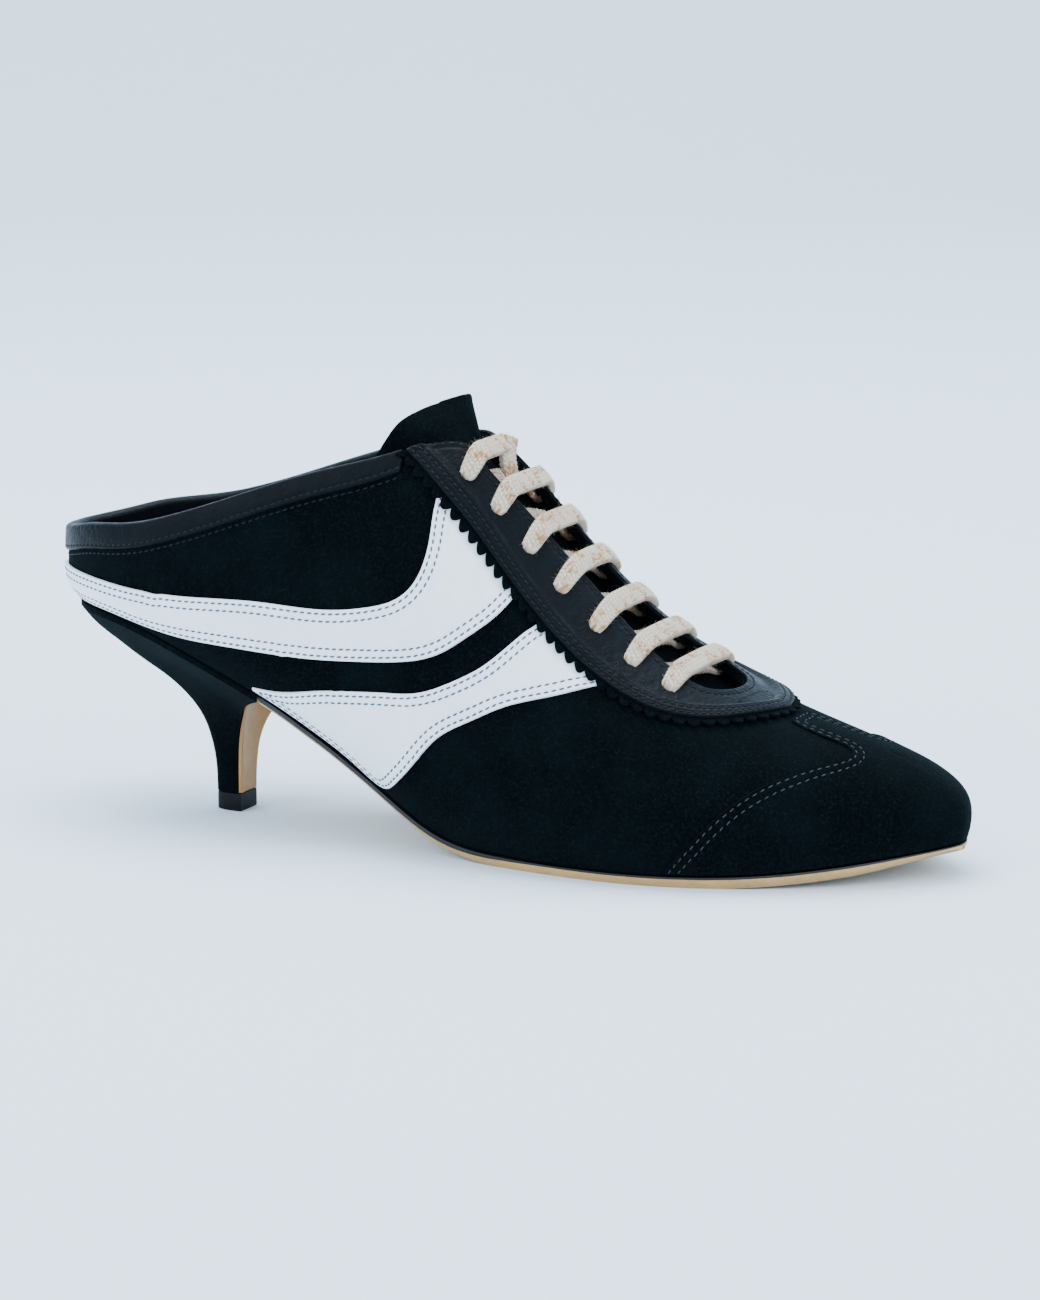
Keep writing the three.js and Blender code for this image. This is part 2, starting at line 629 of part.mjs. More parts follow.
function insole() {
  const marks = steps(2);
  const edge = (station, side, height) => {
    const share = shareOf(station);
    const full = Math.acos(tuckOf(share));
    const level = clamp(1 - height / (INSTEP_HEIGHT * bulgeOf(share)), 0, 1);
    const turn = Math.asin(Math.sin(full) * level);
    const inset = 1.5 * GAP + (height > 0 ? 0 : INSOLE_UNDERCUT);
    return skin(station, TUCK_SHARE * (1 - turn / full), side, -inset);
  };
  const row = (station, height, z) => {
    const outer = edge(station, -1, height);
    const inner = edge(station, 1, height);
    return marks.map((k) => {
      const point = outer.clone().lerp(inner, k);
      point.z = z(point);
      return point;
    });
  };
  const top = STATIONS.map((station) => row(station, INSOLE, (p) => p.z));
  const bottom = STATIONS.map((station) => row(station, 0, (p) => bedHeight(p.x) + GAP));
  return body(wall(top, bottom, { low: true, high: () => true }));
}

// Marks across the shoe from the outer side to the inner one.
const ACROSS = steps(6).map((k) => 2 * k - 1);

// Point of the bed across the shoe between the two edges, set back by a distance in the middle.
function bedPoint(station, k, setBack) {
  const point = bedEdge(station, -1).lerp(bedEdge(station, 1), (k + 1) / 2);
  point.x -= setBack * (1 - k * k);
  point.z = bedHeight(point.x);
  return point;
}

function outsole() {
  const stations = STATIONS.filter((station) => station >= BREAST_STATION - 1e-6);
  const rows = stations.map((station) => {
    const start = lastPoint(BREAST_STATION, 0, -1).x;
    const here = lastPoint(station, 0, -1).x;
    const fade = 1 - smooth(here, start, start + 3 * BREAST_HOLLOW);
    const forefoot = smooth(shareOf(station), 0.4, 0.62);
    const thick = lerp(SOLE_WAIST, SOLE_FOREFOOT, forefoot);
    return ACROSS.map((k) => {
      const top = bedPoint(station, k, BREAST_HOLLOW * fade);
      top.x += 1.5 * GAP * fade;
      const low = top.clone();
      const middle = bedPoint(station, 0, 0);
      const inward = middle.sub(top).setZ(0);
      const bevel = Math.abs(k) === 1 && station < 1 ? SOLE_BEVEL : 0;
      if (bevel > 0) low.addScaledVector(inward.normalize(), Math.min(bevel, 0.4 * inward.length() + bevel));
      if (station >= 1) low.x -= SOLE_BEVEL;
      low.z = Math.max(0, top.z - thick);
      return [top, low];
    });
  });
  const top = rows.map((row) => row.map((pair) => pair[0]));
  const low = rows.map((row) => row.map((pair) => pair[1]));
  return body(wall(top, low, { low: true, high: () => true, first: true }));
}

// Heel

const heelStations = REAR_STATIONS.filter((station) => station <= BREAST_STATION + 1e-6);
const [flareBack, flareSide, flareBreast] = [1, 2, 3].map(
  (i) => spline(column(HEEL_LINES, 0), column(HEEL_LINES, i)));

// Outline of the heel tip: b runs from its back to its front corner.
function tipPoint(b, side) {
  const turn = b * Math.PI / 2;
  const x = TIP_BACK + TIP_LENGTH * (1 - Math.cos(turn) ** 0.8);
  return new THREE.Vector3(x, side * TIP_WIDTH / 2 * Math.sin(turn) ** 0.6, 0);
}

// Front of the heel at a height and at a distance to one side: hollow across, as the seat's front is.
function breastLine(t, y, side) {
  const seat = bedEdge(BREAST_STATION, side);
  const middle = lerp(TIP_BACK + TIP_LENGTH, seat.x - BREAST_HOLLOW, flareBack(t));
  return middle + BREAST_HOLLOW * (y / seat.y) ** 2;
}

// Point of the heel's side: i counts the seat's stations from the back, t runs up from tip to seat.
function heelSide(i, side, t) {
  const b = i / (heelStations.length - 1);
  const seat = bedEdge(heelStations[i], side);
  const tip = tipPoint(b, side);
  const base = TIP_HEIGHT + GAP;
  const corner = bedEdge(BREAST_STATION, side);
  const cornerY = lerp(side * TIP_WIDTH / 2, corner.y, flareBreast(t));
  const cornerX = lerp(TIP_BACK + TIP_LENGTH, corner.x, flareBack(t));
  const x = lerp(tip.x, seat.x, flareBack(t)) + (breastLine(t, cornerY, side) - cornerX) * b ** 3;
  const y = lerp(tip.y, seat.y, lerp(flareSide(t), flareBreast(t), b * b));
  return new THREE.Vector3(x, y, lerp(base, seat.z - HEEL_RIM, t));
}

// Point of the heel's breast, the face towards the toe; k runs across it from -1 to 1.
function heelBreast(k, t) {
  const side = k < 0 ? -1 : 1;
  const seat = bedPoint(BREAST_STATION, k, BREAST_HOLLOW);
  const corner = heelSide(heelStations.length - 1, side, t);
  const y = Math.abs(k) * corner.y;
  return new THREE.Vector3(breastLine(t, y, side), y, lerp(TIP_HEIGHT + GAP, seat.z - HEEL_RIM, t));
}

function heelRing(t) {
  const last = heelStations.length - 1;
  const outer = heelStations.map((_, i) => heelSide(last - i, -1, t));
  const inner = heelStations.slice(1).map((_, i) => heelSide(i + 1, 1, t));
  const front = ACROSS.slice(1, -1).reverse().map((k) => heelBreast(k, t));
  return [...outer, ...inner, ...front];
}

// Rows across the seat; each is set back a little more in the middle, so the last is the breast.
function seatRow(i) {
  const share = i / (heelStations.length - 1);
  return ACROSS.map((k) => bedPoint(heelStations[i], k, BREAST_HOLLOW * share ** 2));
}

function heel() {
  const out = [];
  const levels = HEEL_LINES.map((row) => row[0]);
  const rings = levels.map(heelRing);
  const last = heelStations.length - 1;
  const rimOuter = heelStations.map((_, i) => seatRow(last - i)[0]);
  const rimInner = heelStations.slice(1).map((_, i) => seatRow(i + 1)[ACROSS.length - 1]);
  const rimFront = seatRow(last).slice(1, -1).reverse();
  rings.push([...rimOuter, ...rimInner, ...rimFront]);
  const count = rings[0].length;
  for (let i = 0; i < rings.length - 1; i++) {
    for (let j = 0; j < count; j++) {
      const next = (j + 1) % count;
      quad(out, rings[i][j], rings[i][next], rings[i + 1][next], rings[i + 1][j]);
    }
  }
  const foot = rings[0];
  for (let j = 1; j < count - 1; j++) out.push(foot[0], foot[j + 1], foot[j]);
  for (let i = 0; i < last; i++) {
    const [near, far] = [seatRow(i), seatRow(i + 1)];
    for (let j = 0; j < ACROSS.length - 1; j++) quad(out, near[j], near[j + 1], far[j + 1], far[j]);
  }
  return body(out);
}

function heelBreastCover() {
  const rows = steps(12).map((share) => ACROSS.map((k) => {
    const wide = k * (1 - BREAST_COVER_MARGIN);
    const seat = bedPoint(BREAST_STATION, wide, BREAST_HOLLOW);
    const top = seat.z - SOLE_WAIST - 4 * GAP - BREAST_COVER_DROP * k * k;
    const base = TIP_HEIGHT + GAP;
    const t = share * (top - base) / (seat.z - HEEL_RIM - base);
    const point = heelBreast(wide, t);
    const along = heelBreast(wide, Math.min(t + 0.01, 1)).sub(heelBreast(wide, Math.max(t - 0.01, 0)));
    const across = heelBreast(wide + 0.01, t).sub(heelBreast(wide - 0.01, t));
    const normal = across.cross(along).normalize();
    return [point.clone().addScaledVector(normal, GAP + BREAST_COVER), point.addScaledVector(normal, GAP)];
  }));
  const front = rows.map((row) => row.map((pair) => pair[0]));
  const back = rows.map((row) => row.map((pair) => pair[1]));
  return body(wall(front, back, ALL_EDGES));
}

function heelTip() {
  const round = steps(8);
  const outline = [
    ...[...round].reverse().map((b) => tipPoint(b, -1)),
    ...round.slice(1).map((b) => tipPoint(b, 1)),
  ];
  const front = TIP_BACK + TIP_LENGTH + GAP + BREAST_COVER;
  const ring = (z) => outline.map((p) => {
    const share = (p.x - TIP_BACK) / TIP_LENGTH;
    return new THREE.Vector3(lerp(TIP_BACK, front, share), p.y, z);
  });
  return tube([ring(0), ring(TIP_HEIGHT)]);
}

// Lace

const LACE_RING = [[1, 0], [0.6, 1], [-0.6, 1], [-1, 0], [-0.6, -1], [0.6, -1]].map(
  ([a, b]) => [LACE_WIDTH / 2 * a, LACE_THICK / 2 * b]);

// Flat braid along points, each with the direction that its broad face looks to.
function braid(points, faces) {
  const rings = points.map((point, i) => {
    const before = points[Math.max(i - 1, 0)];
    const after = points[Math.min(i + 1, points.length - 1)];
    const tangent = after.clone().sub(before).normalize();
    const broad = tangent.clone().cross(faces[i]).normalize();
    const thick = broad.clone().cross(tangent).normalize();
    return LACE_RING.map(([a, b]) => point.clone().addScaledVector(broad, a).addScaledVector(thick, b));
  });
  return tube(rings);
}

// Path over the throat from one hole of a pair to the other.
function barPath(index) {
  const [station, girth] = HOLES[index];
  const rest = FACING_TOP + GAP + LACE_THICK / 2;
  const edge = lerp(girth, 1, LACE_REST_SHARE);
  const sideMarks = [girth, lerp(girth, edge, 0.5), edge];
  const from = sideMarks.map((q) => skin(station, q, -1, rest));
  const to = sideMarks.map((q) => skin(station, q, 1, rest)).reverse();
  const bridge = [0.25, 0.5, 0.75].map((t) => {
    const point = from[2].clone().lerp(to[0], t);
    return point.addScaledVector(normalAt(station, 1, -1), LACE_ARCH * 4 * t * (1 - t));
  });
  const points = [...from, ...bridge, ...to];
  const normals = sideMarks.map((q) => normalAt(station, q, -1));
  const faces = [...normals, ...bridge.map(() => normalAt(station, 1, -1)),
    ...sideMarks.map((q) => normalAt(station, q, 1)).reverse()];
  return { points, faces };
}

function laceBar(index) {
  const { points, faces } = barPath(index);
  return braid(points, faces);
}

// Parts

const SUEDE = { color: 0x0b1114, roughness: 0.95, metalness: 0 };
const SMOOTH_LEATHER = { color: 0x1a1e22, roughness: 0.45, metalness: 0 };
const WHITE_LEATHER = { color: 0xe6edf5, roughness: 0.5, metalness: 0 };
const TAN_LEATHER = { color: 0xc09660, roughness: 0.5, metalness: 0 };
const LINING_LEATHER = { color: 0x15181d, roughness: 0.6, metalness: 0 };
const RUBBER = { color: 0x14161a, roughness: 0.6, metalness: 0 };
const COTTON = { color: 0xe4d8c4, roughness: 0.9, metalness: 0 };

const mule = new THREE.Group();

function add(name, geometry, finish) {
  const mesh = new THREE.Mesh(geometry, new THREE.MeshStandardMaterial(finish));
  mesh.name = name;
  mule.add(mesh);
}

add('upper', upper(), SUEDE);
add('toe_cap', toeCap(), SUEDE);
add('stripe_upper', stripeUpper(), WHITE_LEATHER);
add('stripe_lower_outer', stripeLower(-1), WHITE_LEATHER);
add('stripe_lower_inner', stripeLower(1), WHITE_LEATHER);
add('topline_binding', toplineBinding(), SMOOTH_LEATHER);
add('pinked_trim', pinkedTrim(), SUEDE);
add('eyestay', eyestay(), SMOOTH_LEATHER);
add('tongue', tongue(), SUEDE);
add('insole', insole(), LINING_LEATHER);
add('outsole', outsole(), TAN_LEATHER);
add('heel', heel(), SUEDE);
add('heel_breast_cover', heelBreastCover(), TAN_LEATHER);
add('heel_tip', heelTip(), RUBBER);
HOLES.forEach((_, i) => add(`lace_bar_${i + 1}`, laceBar(i), COTTON));

// The origin is under the middle of the whole shoe, on the floor.
const bounds = new THREE.Box3().setFromObject(mule);
mule.position.set(-(bounds.min.x + bounds.max.x) / 2, -(bounds.min.y + bounds.max.y) / 2, -bounds.min.z);

export default mule;
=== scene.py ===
"""Dressed model of a right heeled mule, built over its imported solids.

Shapes are worked out in millimetres on the surface of the shoe's last, in the last's own frame, and
are moved into the row frame, in metres, when a mesh is made. A place on the last is a station (0 is
the back of the heel, 1 the tip of the toe), a girth (0 is the feather line, 1 the top line) and a
side (-1 is the outer side of the foot, 1 the inner one).
"""

import logging
import math
from dataclasses import dataclass, field
from enum import Enum
from typing import Sequence

import bmesh
import bpy
import numpy as np
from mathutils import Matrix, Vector


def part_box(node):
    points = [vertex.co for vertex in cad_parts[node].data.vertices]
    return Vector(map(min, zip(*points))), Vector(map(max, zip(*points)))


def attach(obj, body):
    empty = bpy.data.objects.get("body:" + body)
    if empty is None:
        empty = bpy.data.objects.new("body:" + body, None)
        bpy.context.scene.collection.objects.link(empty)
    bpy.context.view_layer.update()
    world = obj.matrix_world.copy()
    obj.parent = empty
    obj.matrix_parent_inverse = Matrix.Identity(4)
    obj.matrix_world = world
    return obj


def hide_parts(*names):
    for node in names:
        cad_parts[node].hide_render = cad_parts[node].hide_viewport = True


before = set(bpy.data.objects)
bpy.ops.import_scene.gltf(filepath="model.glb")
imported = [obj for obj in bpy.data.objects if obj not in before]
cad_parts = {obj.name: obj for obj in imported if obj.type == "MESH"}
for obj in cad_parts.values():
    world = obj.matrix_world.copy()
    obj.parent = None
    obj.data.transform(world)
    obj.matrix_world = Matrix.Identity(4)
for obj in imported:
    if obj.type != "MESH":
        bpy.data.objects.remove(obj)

LOG = logging.getLogger("mule")
MM = 0.001
Array = np.ndarray


class Side(Enum):
    """The two sides of the foot, with the sign that the last's surface takes."""

    OUTER = -1.0
    INNER = 1.0


class Zone(Enum):
    """Kinds of face on a walled sheet, with the material slot of each."""

    FACE = 0
    RIM = 1
    BACK = 2


# Tables of the last and of its panels, the same as those of the solids.
WIDTHS = [
    (0.000, 0.000, 0.000), (0.035, 0.195, 0.195), (0.090, 0.295, 0.295), (0.160, 0.350, 0.350),
    (0.260, 0.372, 0.368), (0.380, 0.390, 0.365), (0.500, 0.430, 0.395), (0.620, 0.480, 0.460),
    (0.700, 0.480, 0.500), (0.780, 0.425, 0.505), (0.860, 0.318, 0.450), (0.930, 0.175, 0.350),
    (0.975, 0.050, 0.235), (1.000, -0.065, 0.065),
]
SECTIONS = [
    (0.000, 1.000, 0.00, 0.870, 0.080, 1.420, 0.000, 2.60),
    (0.090, 0.962, 0.00, 0.850, 0.100, 1.400, 0.000, 2.20),
    (0.200, 0.790, 0.00, 0.820, 0.130, 1.330, 0.010, 1.80),
    (0.300, 0.563, 0.00, 0.780, 0.160, 1.220, 0.020, 1.45),
    (0.400, 0.278, 0.00, 0.780, 0.178, 1.080, 0.030, 1.25),
    (0.480, 0.060, 0.00, 0.820, 0.172, 0.955, 0.035, 1.08),
    (0.560, 0.003, 0.00, 0.870, 0.138, 0.755, 0.035, 0.98),
    (0.640, 0.000, 0.00, 0.900, 0.106, 0.570, 0.035, 0.93),
    (0.720, 0.000, 0.00, 0.920, 0.087, 0.443, 0.035, 0.90),
    (0.800, 0.000, 0.07, 0.930, 0.075, 0.358, 0.035, 0.88),
    (0.880, 0.000, 0.33, 0.940, 0.064, 0.300, 0.040, 0.88),
    (0.930, 0.000, 0.59, 0.945, 0.058, 0.264, 0.045, 0.88),
    (1.000, 0.000, 1.00, 0.950, 0.050, 0.217, 0.050, 0.88),
]
TOPLINE = [
    (0.000, 0.270), (0.060, 0.272), (0.120, 0.280), (0.149, 0.287), (0.209, 0.302), (0.239, 0.318),
    (0.267, 0.342), (0.307, 0.389), (0.356, 0.470), (0.401, 0.573), (0.441, 0.699), (0.459, 0.778),
    (0.478, 0.866),
]
FACING_ROWS = [
    (0.4460, 0.718, 0.4780, 0.866), (0.4580, 0.712, 0.4860, 0.864), (0.4740, 0.700, 0.4970, 0.858),
    (0.4960, 0.688, 0.5110, 0.868), (0.5210, 0.674, 0.5280, 0.884), (0.5490, 0.661, 0.5510, 0.902),
    (0.5740, 0.653, 0.5730, 0.909), (0.5990, 0.649, 0.5950, 0.897), (0.6240, 0.652, 0.6190, 0.875),
    (0.6460, 0.669, 0.6400, 0.864), (0.6680, 0.711, 0.6550, 0.868), (0.6870, 0.778, 0.6645, 0.892),
    (0.7000, 0.848, 0.6700, 0.926), (0.7100, 0.922, 0.6735, 0.963), (0.7160, 1.000, 0.6745, 1.000),
]
HOLES = [
    (0.487, 0.787), (0.509, 0.789), (0.532, 0.790), (0.556, 0.788), (0.583, 0.786), (0.611, 0.780),
    (0.640, 0.782),
]
BAND_UPPER = [
    (0.000, 0.020, 0.000, 0.214), (0.060, 0.020, 0.055, 0.213), (0.120, 0.020, 0.110, 0.207),
    (0.180, 0.022, 0.165, 0.196), (0.228, 0.035, 0.222, 0.201), (0.287, 0.098, 0.290, 0.237),
    (0.341, 0.172, 0.352, 0.281), (0.389, 0.234, 0.404, 0.333), (0.431, 0.291, 0.441, 0.398),
    (0.467, 0.354, 0.463, 0.458), (0.494, 0.418, 0.473, 0.516), (0.512, 0.489, 0.476, 0.577),
    (0.526, 0.566, 0.475, 0.628),
]
BAND_UPPER_MEETS = (0.325, 0.135)
BAND_LOWER = [
    (0.343, 0.020, 0.343, 0.034), (0.370, 0.020, 0.370, 0.096), (0.398, 0.020, 0.402, 0.182),
    (0.424, 0.020, 0.430, 0.240), (0.447, 0.022, 0.455, 0.282), (0.464, 0.105, 0.477, 0.320),
    (0.478, 0.195, 0.496, 0.364), (0.497, 0.280, 0.511, 0.408), (0.520, 0.345, 0.524, 0.456),
    (0.547, 0.430, 0.535, 0.514), (0.574, 0.520, 0.543, 0.570),
]
BAND_LOWER_MEETS = (0.515, 0.372)
CAP_EDGE = [
    (0.020, 0.661), (0.070, 0.666), (0.140, 0.674), (0.230, 0.685), (0.360, 0.705), (0.490, 0.729),
    (0.620, 0.760), (0.685, 0.778), (0.750, 0.795), (0.815, 0.804), (0.865, 0.799), (0.888, 0.784),
    (0.902, 0.758), (0.918, 0.738),
]
TONGUE_ROWS = [
    (0.705, 0.000, 0.800), (0.670, 0.000, 0.770), (0.630, 0.000, 0.740), (0.590, 0.000, 0.720),
    (0.550, 0.001, 0.700), (0.512, 0.003, 0.672), (0.484, 0.010, 0.645), (0.464, 0.022, 0.620),
    (0.450, 0.032, 0.610),
]
HEEL_LINES = [
    (0.00, 0.000, 0.000, 0.000), (0.18, 0.013, 0.010, 0.010), (0.31, 0.051, 0.040, 0.030),
    (0.43, 0.120, 0.090, 0.060), (0.53, 0.228, 0.165, 0.100), (0.63, 0.389, 0.270, 0.160),
    (0.72, 0.578, 0.400, 0.240), (0.81, 0.744, 0.560, 0.380), (0.90, 0.895, 0.760, 0.620),
    (1.00, 1.000, 1.000, 1.000),
]
HEEL_STATIONS = [0, 0.025, 0.05, 0.075, 0.1, 0.13, 0.165, 0.2, 0.24, 0.28, 0.3125, 0.345]


def unit(vectors: Array) -> Array:
    """Vectors of length one."""
    return vectors / np.maximum(np.linalg.norm(vectors, axis=-1, keepdims=True), 1e-12)


def mix(a: Array, b: Array, share: Array) -> Array:
    """Straight blend from a to b."""
    return a + (b - a) * share


def ease(x: Array, low: float, high: float) -> Array:
    """Smooth step from 0 at low to 1 at high."""
    t = np.clip((x - low) / (high - low), 0, 1)
    return t * t * (3 - 2 * t)


class NaturalSpline:
    """Natural cubic through points."""

    def __init__(self, xs: Sequence[float], ys: Sequence[float]) -> None:
        """Solves the bends.

        Args:
            xs: rising places of the points.
            ys: their values.
        """
        self.xs, self.ys = np.array(xs, float), np.array(ys, float)
        step = np.diff(self.xs)
        slope = np.diff(self.ys) / step
        count = len(self.xs)
        matrix = np.eye(count)
        right = np.zeros(count)
        for i in range(1, count - 1):
            matrix[i, i - 1:i + 2] = step[i - 1] / 6, (step[i - 1] + step[i]) / 3, step[i] / 6
            right[i] = slope[i] - slope[i - 1]
        self.bend = np.linalg.solve(matrix, right)

    def __call__(self, x: Array) -> Array:
        """Values at x."""
        x = np.asarray(x, float)
        k = np.clip(np.searchsorted(self.xs, x, side="left") - 1, 0, len(self.xs) - 2)
        h = self.xs[k + 1] - self.xs[k]
        a, b = (self.xs[k + 1] - x) / h, (x - self.xs[k]) / h
        cubic = ((a**3 - a) * self.bend[k] + (b**3 - b) * self.bend[k + 1]) * h * h / 6
        return a * self.ys[k] + b * self.ys[k + 1] + cubic


def row_curves(table: Sequence[Sequence[float]]) -> list[NaturalSpline]:
    """One curve for each column of a table whose rows are evenly spaced from 0 to 1."""
    marks = np.linspace(0, 1, len(table))
    return [NaturalSpline(marks, column) for column in zip(*table)]


def curves_over(table: Sequence[Sequence[float]]) -> tuple[NaturalSpline, ...]:
    """One curve for each further column of a table, over its first column."""
    marks, *columns = zip(*table)
    return tuple(NaturalSpline(marks, column) for column in columns)


def both_sides(*lines: Array) -> list[Array]:
    """Lines of the outer side, run on back along the inner side, and the side of each point."""
    count = len(lines[0])
    side = np.concatenate([np.full(count, Side.OUTER.value), np.full(count - 1, Side.INNER.value)])
    return [*(np.concatenate([line, line[-2::-1]]) for line in lines), side]


def sample(marks: Array, run: Array, line: Array) -> Array:
    """Rows of a line at distances run along it."""
    return np.stack([np.interp(marks, run, column) for column in line.T], -1)


@dataclass(frozen=True)
class Thickness:
    """Walls, overlays and clearances of the uppers, in millimetres."""

    upper: float = 1.8
    glue: float = 0.12
    panel: float = 0.95
    skived: float = 0.42
    facing: float = 0.9
    trim: float = 0.7
    binding: float = 0.8
    gap: float = 0.3

    @property
    def out(self) -> float:
        """Where the underside of an overlay lies above the last."""
        return self.upper + self.glue

    @property
    def trim_back(self) -> float:
        """Where the underside of the pinked strip lies, over the skived ends of the bands."""
        return self.out + self.skived + 0.08

    @property
    def facing_top(self) -> float:
        """Where the face of the facing lies above the last."""
        return self.out + self.facing


LAYERS = Thickness()


@dataclass
class Places:
    """Places on the last, all arrays of one shape."""

    station: Array
    girth: Array
    side: Array

    def __post_init__(self) -> None:
        """Turns places that have crossed a centre line over to the other side."""
        station, girth, side = np.broadcast_arrays(
            *(np.asarray(a, float) for a in (self.station, self.girth, self.side)))
        over = (station < 0) ^ (girth > 1)
        self.side = np.where(over, -side, side)
        self.station = np.abs(station)
        self.girth = np.where(girth > 1, 2 - girth, girth)

    def pick(self, index: object) -> "Places":
        """The places at an index."""
        return Places(self.station[index], self.girth[index], self.side[index])


@dataclass(frozen=True)
class Last:
    """The foot form that the shoe is made on, in millimetres."""

    length: float = 236.0
    ball_width: float = 77.5
    seat_height: float = 54.0
    instep_height: float = 102.0
    toe_spring: float = 5.4
    heel_round: float = 24.0
    heel_round_reach: float = 62.0
    toe_round: float = 17.0
    toe_round_reach: float = 45.0
    tuck_share: float = 0.22
    ball_rest: float = 3.94
    widths: tuple[NaturalSpline, ...] = field(default_factory=lambda: curves_over(
        [(math.acos(1 - 2 * share) / math.pi, *wide) for share, *wide in WIDTHS]))
    sections: tuple[NaturalSpline, ...] = field(default_factory=lambda: curves_over(SECTIONS))

    @staticmethod
    def share(station: Array) -> Array:
        """Share of the length at a station."""
        return (1 - np.cos(np.pi * station)) / 2

    def feather_height(self, share: Array) -> Array:
        """Height of the feather line."""
        rise, spring = self.sections[0](share), self.sections[1](share)
        return self.ball_rest + (self.seat_height - self.ball_rest) * rise + self.toe_spring * spring

    def top_slope(self, share: Array) -> Array:
        """Slope of the top line along the shoe."""
        step, crown = 0.001, self.sections[4]
        return self.instep_height * (crown(share + step) - crown(share - step)) / (
            2 * step * self.length)

    def point(self, station: Array, girth: Array, side: Array) -> Array:
        """Points of the last's surface.

        Args:
            station: stations.
            girth: girths.
            side: -1 or 1.

        Returns:
            Points with x, y and z on their last axis.
        """
        station, girth, side = np.broadcast_arrays(station, girth, side)
        _, _, tuck_of, bulge_of, crown_of, lean_of, shoulder_of = self.sections
        share = self.share(station)
        x_edge = self.length * share
        pull = self.heel_round * np.clip(1 - x_edge / self.heel_round_reach, 0, 1) ** 2
        toe = (x_edge - (self.length - self.toe_round_reach)) / self.toe_round_reach
        x_top = x_edge + pull - self.toe_round * np.clip(toe, 0, 1) ** 2
        top = x_top / self.length
        bulge = self.instep_height * bulge_of(share)
        z_wide = self.feather_height(share) + bulge
        z_top = self.instep_height * crown_of(top)
        y_top = self.ball_width * lean_of(top)
        width = np.where(side < 0, self.widths[0](station), self.widths[1](station))
        y_wide = side * self.ball_width * width
        full = np.arccos(tuck_of(share))
        low = girth < self.tuck_share
        under = np.where(low, 1 - girth / self.tuck_share, 0) * full
        over = np.where(low, 0, girth - self.tuck_share) / (1 - self.tuck_share) * np.pi / 2
        reach = np.where(low, np.cos(under), np.maximum(np.cos(over), 0) ** shoulder_of(top))
        z = np.where(low, z_wide - bulge * np.sin(under) / np.sin(full),
                     mix(z_wide, z_top, np.sin(over)))
        lift = self.top_slope(top) * (x_edge - x_top) * reach * np.sin(over) ** 2
        z = z + np.where(~low & (toe > 0), lift, 0)
        return np.stack([mix(x_top, x_edge, reach), mix(y_top, y_wide, reach), z], -1)

    def normal(self, station: Array, girth: Array, side: Array) -> Array:
        """Outward directions of the surface."""
        step = 0.001
        station, girth, side = np.broadcast_arrays(station, girth, side)
        before, after = np.maximum(station - step, 0), np.minimum(station + step, 1)
        along = self.point(after, girth, side) - self.point(before, girth, side)
        low, high = np.maximum(girth - step, 0), np.minimum(girth + step, 1)
        around = self.point(station, high, side) - self.point(station, low, side)
        normal = unit(np.cross(along, around) * -side[..., None])
        slope = self.top_slope(self.point(station, 1.0, side)[..., 0] / self.length)
        crest = unit(np.stack([-slope, np.zeros_like(slope), np.ones_like(slope)], -1))
        return np.where((girth > 1 - step)[..., None], crest, normal)

    def skin(self, places: Places, off: Array) -> Array:
        """Points at a distance outside the last; centre lines are worked out from one side only."""
        station, girth = places.station, places.girth
        shared = (station <= 0) | (station >= 1) | (girth >= 1)
        side = np.where(shared, -1.0, places.side)
        off = np.broadcast_to(off, station.shape)
        return self.point(station, girth, side) + self.normal(station, girth, side) * off[..., None]

    def normals(self, places: Places) -> Array:
        """Outward directions at places."""
        return self.normal(places.station, places.girth, places.side)

    def arcs(self, station: Array, side: float) -> tuple[Array, Array]:
        """Girths, and the distance over the surface from the feather line up to each of them."""
        girth = np.linspace(0, 1, 81)
        line = self.point(station[:, None], girth[None, :], np.full((1, 1), side))
        run = np.linalg.norm(np.diff(line, axis=1), axis=-1)
        return girth, np.concatenate([np.zeros((len(station), 1)), np.cumsum(run, axis=1)], axis=1)

    def smooth_line(self, stations: Sequence[float], girths: Sequence[float], knots: Array,
                    marks: Array, side: float) -> tuple[Array, Array]:
        """A line through places that is smooth on the surface itself.

        Args:
            stations: stations of the places.
            girths: their girths.
            knots: mark of each place, rising.
            marks: marks to evaluate the line at.
            side: side of the foot.

        Returns:
            Stations and girths of the line.
        """
        stations = np.array(stations)
        levels, run = self.arcs(stations, side)
        heights = np.array([np.interp(girth, levels, row) for girth, row in zip(girths, run)])
        if stations[0] == 0:
            knots = np.append(-knots[1], knots)
            stations = np.append(-stations[1], stations)
            heights = np.append(heights[1], heights)
        station = NaturalSpline(knots, stations)(marks)
        height = NaturalSpline(knots, heights)(marks)
        levels, run = self.arcs(np.clip(station, 0, 1), side)
        girth = np.array([np.interp(h, row, levels) for h, row in zip(height, run)])
        return np.clip(station, 0, 1), girth


LAST = Last()
TIP_BACK = 38.4
_tip_low, _tip_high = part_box("heel_tip")
ROW_SHIFT = np.array([_tip_low.x / MM - TIP_BACK, (_tip_low.y + _tip_high.y) / 2 / MM, 0.0])


def to_row(points: Array) -> Array:
    """Points of the last's frame, in millimetres, as points of the row frame, in metres."""
    return (points + ROW_SHIFT) * MM


def path_lengths(points: Array) -> Array:
    """Distance run along a line at each of its points."""
    run = np.linalg.norm(np.diff(points, axis=0), axis=-1)
    return np.concatenate([[0.0], np.cumsum(run)])


def distance_to(points: Array, line: Array) -> Array:
    """Distance of points from the nearest point of a dense line."""
    flat = points.reshape(-1, 3)
    best = np.full(len(flat), np.inf)
    part = 64
    for start in range(0, len(line), part):
        gap = flat[:, None, :] - line[None, start:start + part, :]
        best = np.minimum(best, np.sqrt((gap * gap).sum(-1)).min(1))
    return best.reshape(points.shape[:-1])


